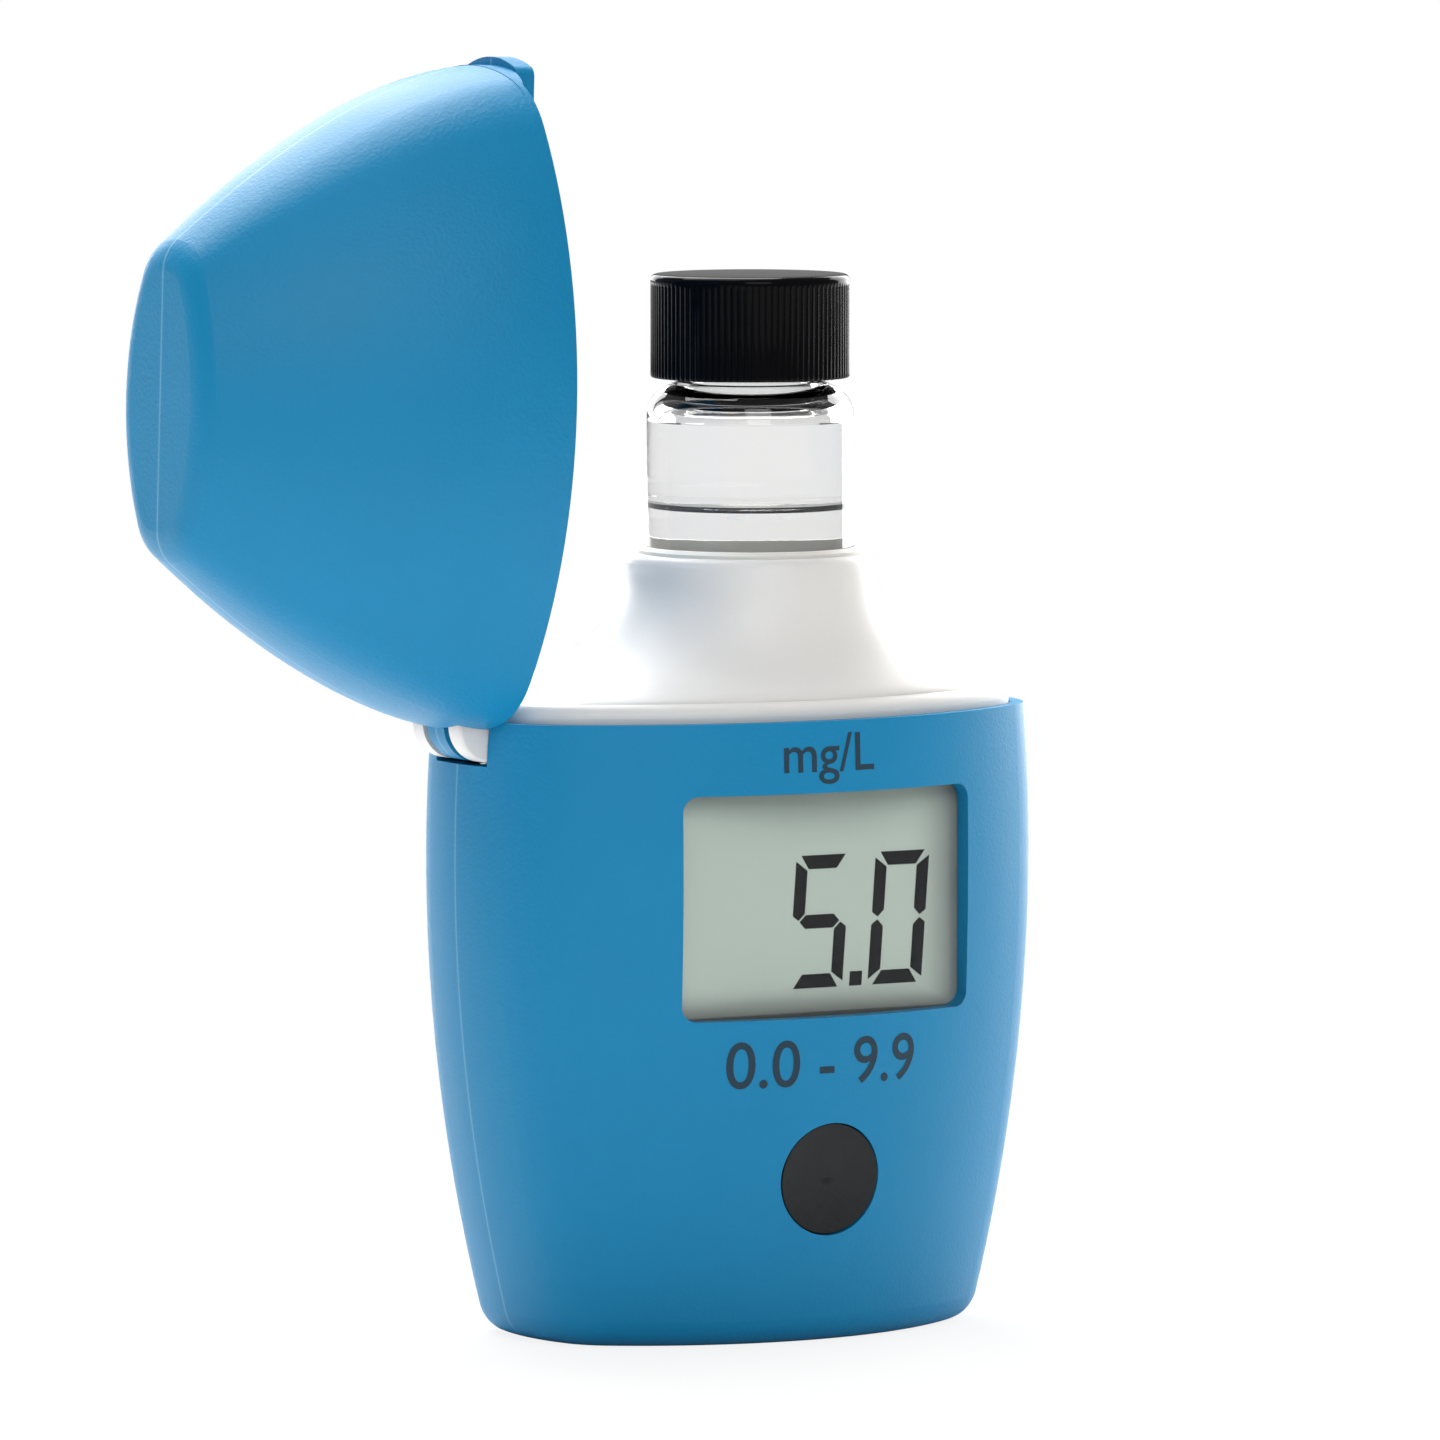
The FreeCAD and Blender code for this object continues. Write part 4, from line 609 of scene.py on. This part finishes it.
def tick(name, level, turn_from, turn_to):
    """A thin printed arc on the outside of the glass, measured from the side the camera sees."""
    shape = bmesh.new()
    columns = []
    for step in range(TICK_STEPS + 1):
        angle = VIAL_FACING + math.radians(turn_from + (turn_to - turn_from) * step / TICK_STEPS)
        column = []
        for radius, up in (
            (VIAL_RADIUS, level), (VIAL_RADIUS + TICK_PROUD, level),
            (VIAL_RADIUS + TICK_PROUD, level + TICK_HEIGHT), (VIAL_RADIUS, level + TICK_HEIGHT),
        ):
            column.append(shape.verts.new(
                (VIAL_AXIS.x + radius * math.cos(angle), VIAL_AXIS.y + radius * math.sin(angle), up)
            ))
        columns.append(column)
    for left, right in zip(columns, columns[1:]):
        for side in range(4):
            shape.faces.new((left[side], left[(side + 1) % 4], right[(side + 1) % 4], right[side]))
    shape.faces.new(columns[0])
    shape.faces.new(columns[-1])
    bmesh.ops.recalc_face_normals(shape, faces=shape.faces)
    mesh = bpy.data.meshes.new(name)
    shape.to_mesh(mesh)
    shape.free()
    return piece(name, mesh, tick_enamel, "vial")


tick("vial_tick_left", vial_base + TICK_RISE, turn_from=-13, turn_to=-2)
tick("vial_tick_right", vial_base + TICK_RISE, turn_from=14, turn_to=27)

# Cap: a black phenolic screw cap, glossy, finely fluted round its side, with a foam liner inside.
# Its bright rounded shoulder runs into a slightly crowned top.
CAP_FLUTES = 96
CAP_FLUTE_DEPTH = 0.11 * MM
CAP_FLUTE_TOP = 1.1 * MM
CAP_SHOULDER = 0.55 * MM
CAP_CROWN = 0.45 * MM
CAP_TOP_WALL = 1.1 * MM
CAP_BORE = 7.0 * MM
CAP_FOOT = 0.25 * MM
CAP_CEILING_ROUND = 0.3 * MM
CAP_FLUTE_RUNOUT = 0.15 * MM
CAP_FLUTE_END = 0.05 * MM
CAP_TOP_EDGE = 1.6 * MM
CAP_TOP_ROUND = 0.8 * MM
CAP_STEPS_PER_FLUTE = 6
CAP_BLACK = (0.0030, 0.0030, 0.0036, 1)
LINER_WHITE = (0.78, 0.78, 0.75, 1)
cap_low, cap_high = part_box("vial_cap")
CAP_RADIUS = (cap_high[0] - cap_low[0]) / 2
cap_ceiling = cap_high[2] - CAP_TOP_WALL


def cap_flute(angle, across, up):
    """Depth of the cap's flutes: shallow troughs that end under the shoulder."""
    if across < CAP_RADIUS - CAP_FLUTE_DEPTH or up > cap_high[2] - CAP_FLUTE_TOP:
        return 0
    return CAP_FLUTE_DEPTH * (0.5 - 0.5 * math.cos(CAP_FLUTES * angle))


cap_mesh = lathe("cap_fluted_shell", soft_profile([
    (0, cap_ceiling, 0),
    (CAP_BORE, cap_ceiling, CAP_CEILING_ROUND),
    (CAP_BORE, cap_low[2], CAP_FOOT),
    (CAP_RADIUS, cap_low[2], CAP_FOOT),
    (CAP_RADIUS, cap_low[2] + 2 * CAP_FOOT, 0),
    (CAP_RADIUS, cap_high[2] - CAP_FLUTE_TOP - CAP_FLUTE_RUNOUT, 0),
    (CAP_RADIUS, cap_high[2] - CAP_FLUTE_TOP + CAP_FLUTE_END, 0),
    (CAP_RADIUS, cap_high[2] - CAP_CROWN / 2, CAP_SHOULDER),
    (CAP_RADIUS - CAP_TOP_EDGE, cap_high[2] - CAP_CROWN / 3, CAP_TOP_ROUND),
    (0, cap_high[2], 0),
]), VIAL_AXIS, CAP_FLUTES * CAP_STEPS_PER_FLUTE, cap_flute)
cap_plastic = moulded(
    "cap_black_plastic", CAP_BLACK, roughness=0.10, grain=700.0, depth=0.000003,
    spread=0.03, shade=0.3, shine=0.06,
)
cap_piece = piece("cap_fluted_shell", cap_mesh, cap_plastic, "cap")
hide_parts("vial_cap")
liner_foam = moulded("cap_liner_foam", LINER_WHITE, roughness=0.7, grain=3000.0, depth=0.00002)
dress("cap_liner", liner_foam)

# Display: a clear window with a rolled edge over grey-green liquid crystal glass.
# The reading is made of slanted bars on the crystal, as thin dark pieces.
DIGIT_WIDTH = 5.7 * MM
DIGIT_HEIGHT = 12.0 * MM
DIGIT_STROKE = 1.25 * MM
DIGIT_GAP = 0.13 * MM
DIGIT_SLANT = 0.075
DIGIT_BASE = 32.0 * MM
DIGIT_STARTS = {"5": -2.35 * MM, "0": 6.05 * MM}
DIGIT_DEEP = 0.03 * MM
POINT_START = 4.1 * MM
POINT_SIZE = 1.3 * MM
BARS_OF = {"5": "afgcd", "0": "abcdef"}
BAR_END_SHARE = 0.3
BAR_TIP_SHARE = 0.35
BAR_BLACK = (0.008, 0.008, 0.009, 1)
WINDOW_TINT = (0.975, 0.985, 0.985, 1)
WINDOW_CORNER = 1.4 * MM
WINDOW_CORNER_GROWTH = 0.4
WINDOW_CORNER_STEPS = 6
WINDOW_RIM = 0.25 * MM
WINDOW_ROLL = 2.6 * MM
WINDOW_STEPS = 10
CRYSTAL_GREEN = (0.375, 0.435, 0.385, 1)
# Painted shade: the dark colour laid on the crystal near its edges, standing in for the frame's
# shadow and its reflection in the window
CRYSTAL_PAINTED_SHADE = (0.05, 0.05, 0.055, 1)
CRYSTAL_PAINTED_SHADE_CURVE = 1.7
crystal_low, crystal_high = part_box("display_glass")
window_clear = clear(
    "window_clear_plastic", WINDOW_TINT, ior=1.16, waviness=0.000004, shadow=0.02, shine=0.06
)
window_low, window_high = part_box("display_window")


def window_form():
    """A clear plate with a flat back, round corners and a front that rolls off to its edges."""
    shape = bmesh.new()
    middle = ((window_low[0] + window_high[0]) / 2, (window_low[2] + window_high[2]) / 2)
    half = ((window_high[0] - window_low[0]) / 2, (window_high[2] - window_low[2]) / 2)
    rings = []
    rim_level = window_high[1] - WINDOW_RIM
    rise = rim_level - window_low[1]
    levels = [(window_high[1], 0.0)]
    for step in range(WINDOW_STEPS + 1):
        roll = math.pi / 2 * step / WINDOW_STEPS
        levels.append((rim_level - rise * math.sin(roll), WINDOW_ROLL * (1 - math.cos(roll))))
    for depth, inset in levels:
        ring = []
        corner = WINDOW_CORNER + WINDOW_CORNER_GROWTH * inset
        for quarter, (side, above) in enumerate(((1, 1), (-1, 1), (-1, -1), (1, -1))):
            for step in range(WINDOW_CORNER_STEPS + 1):
                angle = math.pi / 2 * (quarter + step / WINDOW_CORNER_STEPS)
                ring.append(shape.verts.new((
                    middle[0] + side * (half[0] - inset - corner) + corner * math.cos(angle),
                    depth,
                    middle[1] + above * (half[1] - inset - corner) + corner * math.sin(angle),
                )))
        rings.append(ring)
    count = len(rings[0])
    for lower, upper in zip(rings, rings[1:]):
        for step in range(count):
            following = (step + 1) % count
            side_face = shape.faces.new(
                (lower[step], lower[following], upper[following], upper[step])
            )
            side_face.smooth = True
    shape.faces.new(rings[0])
    shape.faces.new(rings[-1])
    bmesh.ops.recalc_face_normals(shape, faces=shape.faces)
    mesh = bpy.data.meshes.new("window_pillow")
    shape.to_mesh(mesh)
    shape.free()
    return mesh


window_piece = piece("window_pillow", window_form(), window_clear, "case")
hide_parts("display_window")
crystal = moulded(
    "display_grey_green", CRYSTAL_GREEN, roughness=0.45, grain=6000.0, depth=0.000001,
    spread=0.03, shade=0.015,
)
crystal_tree = crystal.node_tree
crystal_shader = crystal_tree.nodes["Principled BSDF"]
crystal_place = crystal_tree.nodes.new("ShaderNodeTexCoord")
crystal_split = crystal_tree.nodes.new("ShaderNodeSeparateXYZ")
crystal_tree.links.new(crystal_place.outputs["Object"], crystal_split.inputs[0])

# Painted shade and painted reflection of the frame: the crystal's colour darkens towards its right
# and lower edges, and a little elsewhere
shade = None
for axis, sign, edge, reach, depth in (
    ("X", 1, window_high[0], 5.4 * MM, 0.80), ("Z", -1, -window_low[2], 2.8 * MM, 0.80),
    ("X", -1, -window_low[0], 1.0 * MM, 0.25), ("Z", 1, window_high[2], 0.8 * MM, 0.25),
):
    place = math_node(crystal_tree, "MULTIPLY", crystal_split.outputs[axis], sign)
    near = math_node(crystal_tree, "SUBTRACT", place, edge - reach)
    share = math_node(crystal_tree, "DIVIDE", near, reach, clamp=True)
    curved = math_node(crystal_tree, "POWER", share, CRYSTAL_PAINTED_SHADE_CURVE)
    band = math_node(crystal_tree, "MULTIPLY", curved, depth)
    shade = band if shade is None else math_node(crystal_tree, "MAXIMUM", shade, band)
crystal_painted_shade = crystal_tree.nodes.new("ShaderNodeMix")
crystal_painted_shade.data_type = "RGBA"
crystal_painted_shade.inputs["B"].default_value = CRYSTAL_PAINTED_SHADE
crystal_plain = crystal_shader.inputs["Base Color"].links[0].from_socket
crystal_tree.links.new(shade, crystal_painted_shade.inputs["Factor"])
crystal_tree.links.new(crystal_plain, crystal_painted_shade.inputs["A"])
crystal_tree.links.new(crystal_painted_shade.outputs["Result"], crystal_shader.inputs["Base Color"])
dress("display_glass", crystal)
bar_ink = moulded(
    "display_bar_ink", BAR_BLACK, roughness=0.45, grain=5000.0, depth=0.000001,
    spread=0.03, shade=0.1, shine=0.1,
)


def bar_outline(bar):
    """Corners of one bar of a seven-bar digit, from the digit's lower left corner."""
    wide, tall, stroke, gap = DIGIT_WIDTH, DIGIT_HEIGHT, DIGIT_STROKE, DIGIT_GAP
    half = tall / 2
    if bar == "g":
        return [
            (stroke / 2 + gap, half), (stroke + gap, half + stroke / 2),
            (wide - stroke - gap, half + stroke / 2), (wide - stroke / 2 - gap, half),
            (wide - stroke - gap, half - stroke / 2), (stroke + gap, half - stroke / 2),
        ]
    if bar in "ad":
        outline = [
            (gap + BAR_END_SHARE * stroke, 0), (wide - gap - BAR_END_SHARE * stroke, 0),
            (wide - stroke - gap, stroke), (stroke + gap, stroke),
        ]
    else:
        outline = [
            (0, gap + BAR_END_SHARE * stroke), (stroke, stroke + gap),
            (stroke, half - stroke / 2 - gap), (stroke / 2, half - gap),
            (0, half - gap - BAR_TIP_SHARE * stroke),
        ]
    if bar in "abf":
        outline = [(across, tall - up) for across, up in outline]
    if bar in "bc":
        outline = [(wide - across, up) for across, up in outline]
    return outline


def bar_piece(name, outline, start):
    """A thin slanted plate on the front of the crystal."""
    shape = bmesh.new()
    front = crystal_low[1] - DIGIT_DEEP
    face = shape.faces.new([
        shape.verts.new((start + across + DIGIT_SLANT * up, front, DIGIT_BASE + up))
        for across, up in outline
    ])
    raised = bmesh.ops.extrude_face_region(shape, geom=[face])
    back = [item for item in raised["geom"] if isinstance(item, bmesh.types.BMVert)]
    bmesh.ops.translate(shape, verts=back, vec=(0, DIGIT_DEEP, 0))
    bmesh.ops.recalc_face_normals(shape, faces=shape.faces)
    mesh = bpy.data.meshes.new(name)
    shape.to_mesh(mesh)
    shape.free()
    return piece(name, mesh, bar_ink, "case")


for digit, start in DIGIT_STARTS.items():
    for bar in BARS_OF[digit]:
        bar_piece(f"display_bar_{digit}_{bar}", bar_outline(bar), start)
bar_piece(
    "display_point",
    [(0, 0), (POINT_SIZE, 0), (POINT_SIZE, POINT_SIZE), (0, POINT_SIZE)],
    POINT_START,
)

# Printing: dark slate pad print on the curved front, a unit above the display and a range below.
# Each character is a thin skin laid on the case's surface.
PRINT_PROUD = 0.035 * MM
PRINT_WEIGHT = 0.006
PRINT_CURVE_STEPS = 6
PRINT_FROM = -0.05
PRINT_SLATE = (0.018, 0.045, 0.070, 1)
PRINTS = (
    ("print_unit", "mg/L", 4.9 * MM, (-0.9 * MM, 52.0 * MM)),
    ("print_range", "0.0 - 9.9", 6.0 * MM, (-0.9 * MM, 23.7 * MM)),
)
print_ink = moulded(
    "print_slate_ink", PRINT_SLATE, roughness=0.5, grain=5000.0, depth=0.000003,
    spread=0.05, shade=0.1, shine=0.2,
)
front_mesh = nodes["front_shell"].data
front_tree = BVHTree.FromPolygons(
    [tuple(vert.co) for vert in front_mesh.vertices],
    [tuple(face.vertices) for face in front_mesh.polygons],
)
for name, words, size, (across, up) in PRINTS:
    writing = bpy.data.curves.new(name + "_curve", "FONT")
    writing.body = words
    writing.size = size
    writing.align_x = "CENTER"
    writing.resolution_u = PRINT_CURVE_STEPS
    writing.offset = PRINT_WEIGHT * size
    carrier = bpy.data.objects.new(name + "_curve", writing)
    flat = bpy.data.meshes.new_from_object(carrier)
    flat.name = name
    for vert in flat.vertices:
        start = Vector((across + vert.co.x, PRINT_FROM, up + vert.co.y))
        hit = front_tree.ray_cast(start, Vector((0, 1, 0)))
        vert.co = Vector((start.x, hit[0].y - PRINT_PROUD, start.z))
    bpy.data.objects.remove(carrier)
    bpy.data.curves.remove(writing)
    piece(name, flat, print_ink, "case")

# Button: a round dished key moulded in matt black rubber.
# It stands in its hole in the front shell and is pressed in towards the switch on the board.
BUTTON_BLACK = (0.020, 0.021, 0.022, 1)
button_rubber = moulded(
    "button_black_rubber", BUTTON_BLACK, roughness=0.42, grain=1300.0, depth=0.00008,
    spread=0.12, shade=0.5, shine=0.14,
)
dress("button", button_rubber)
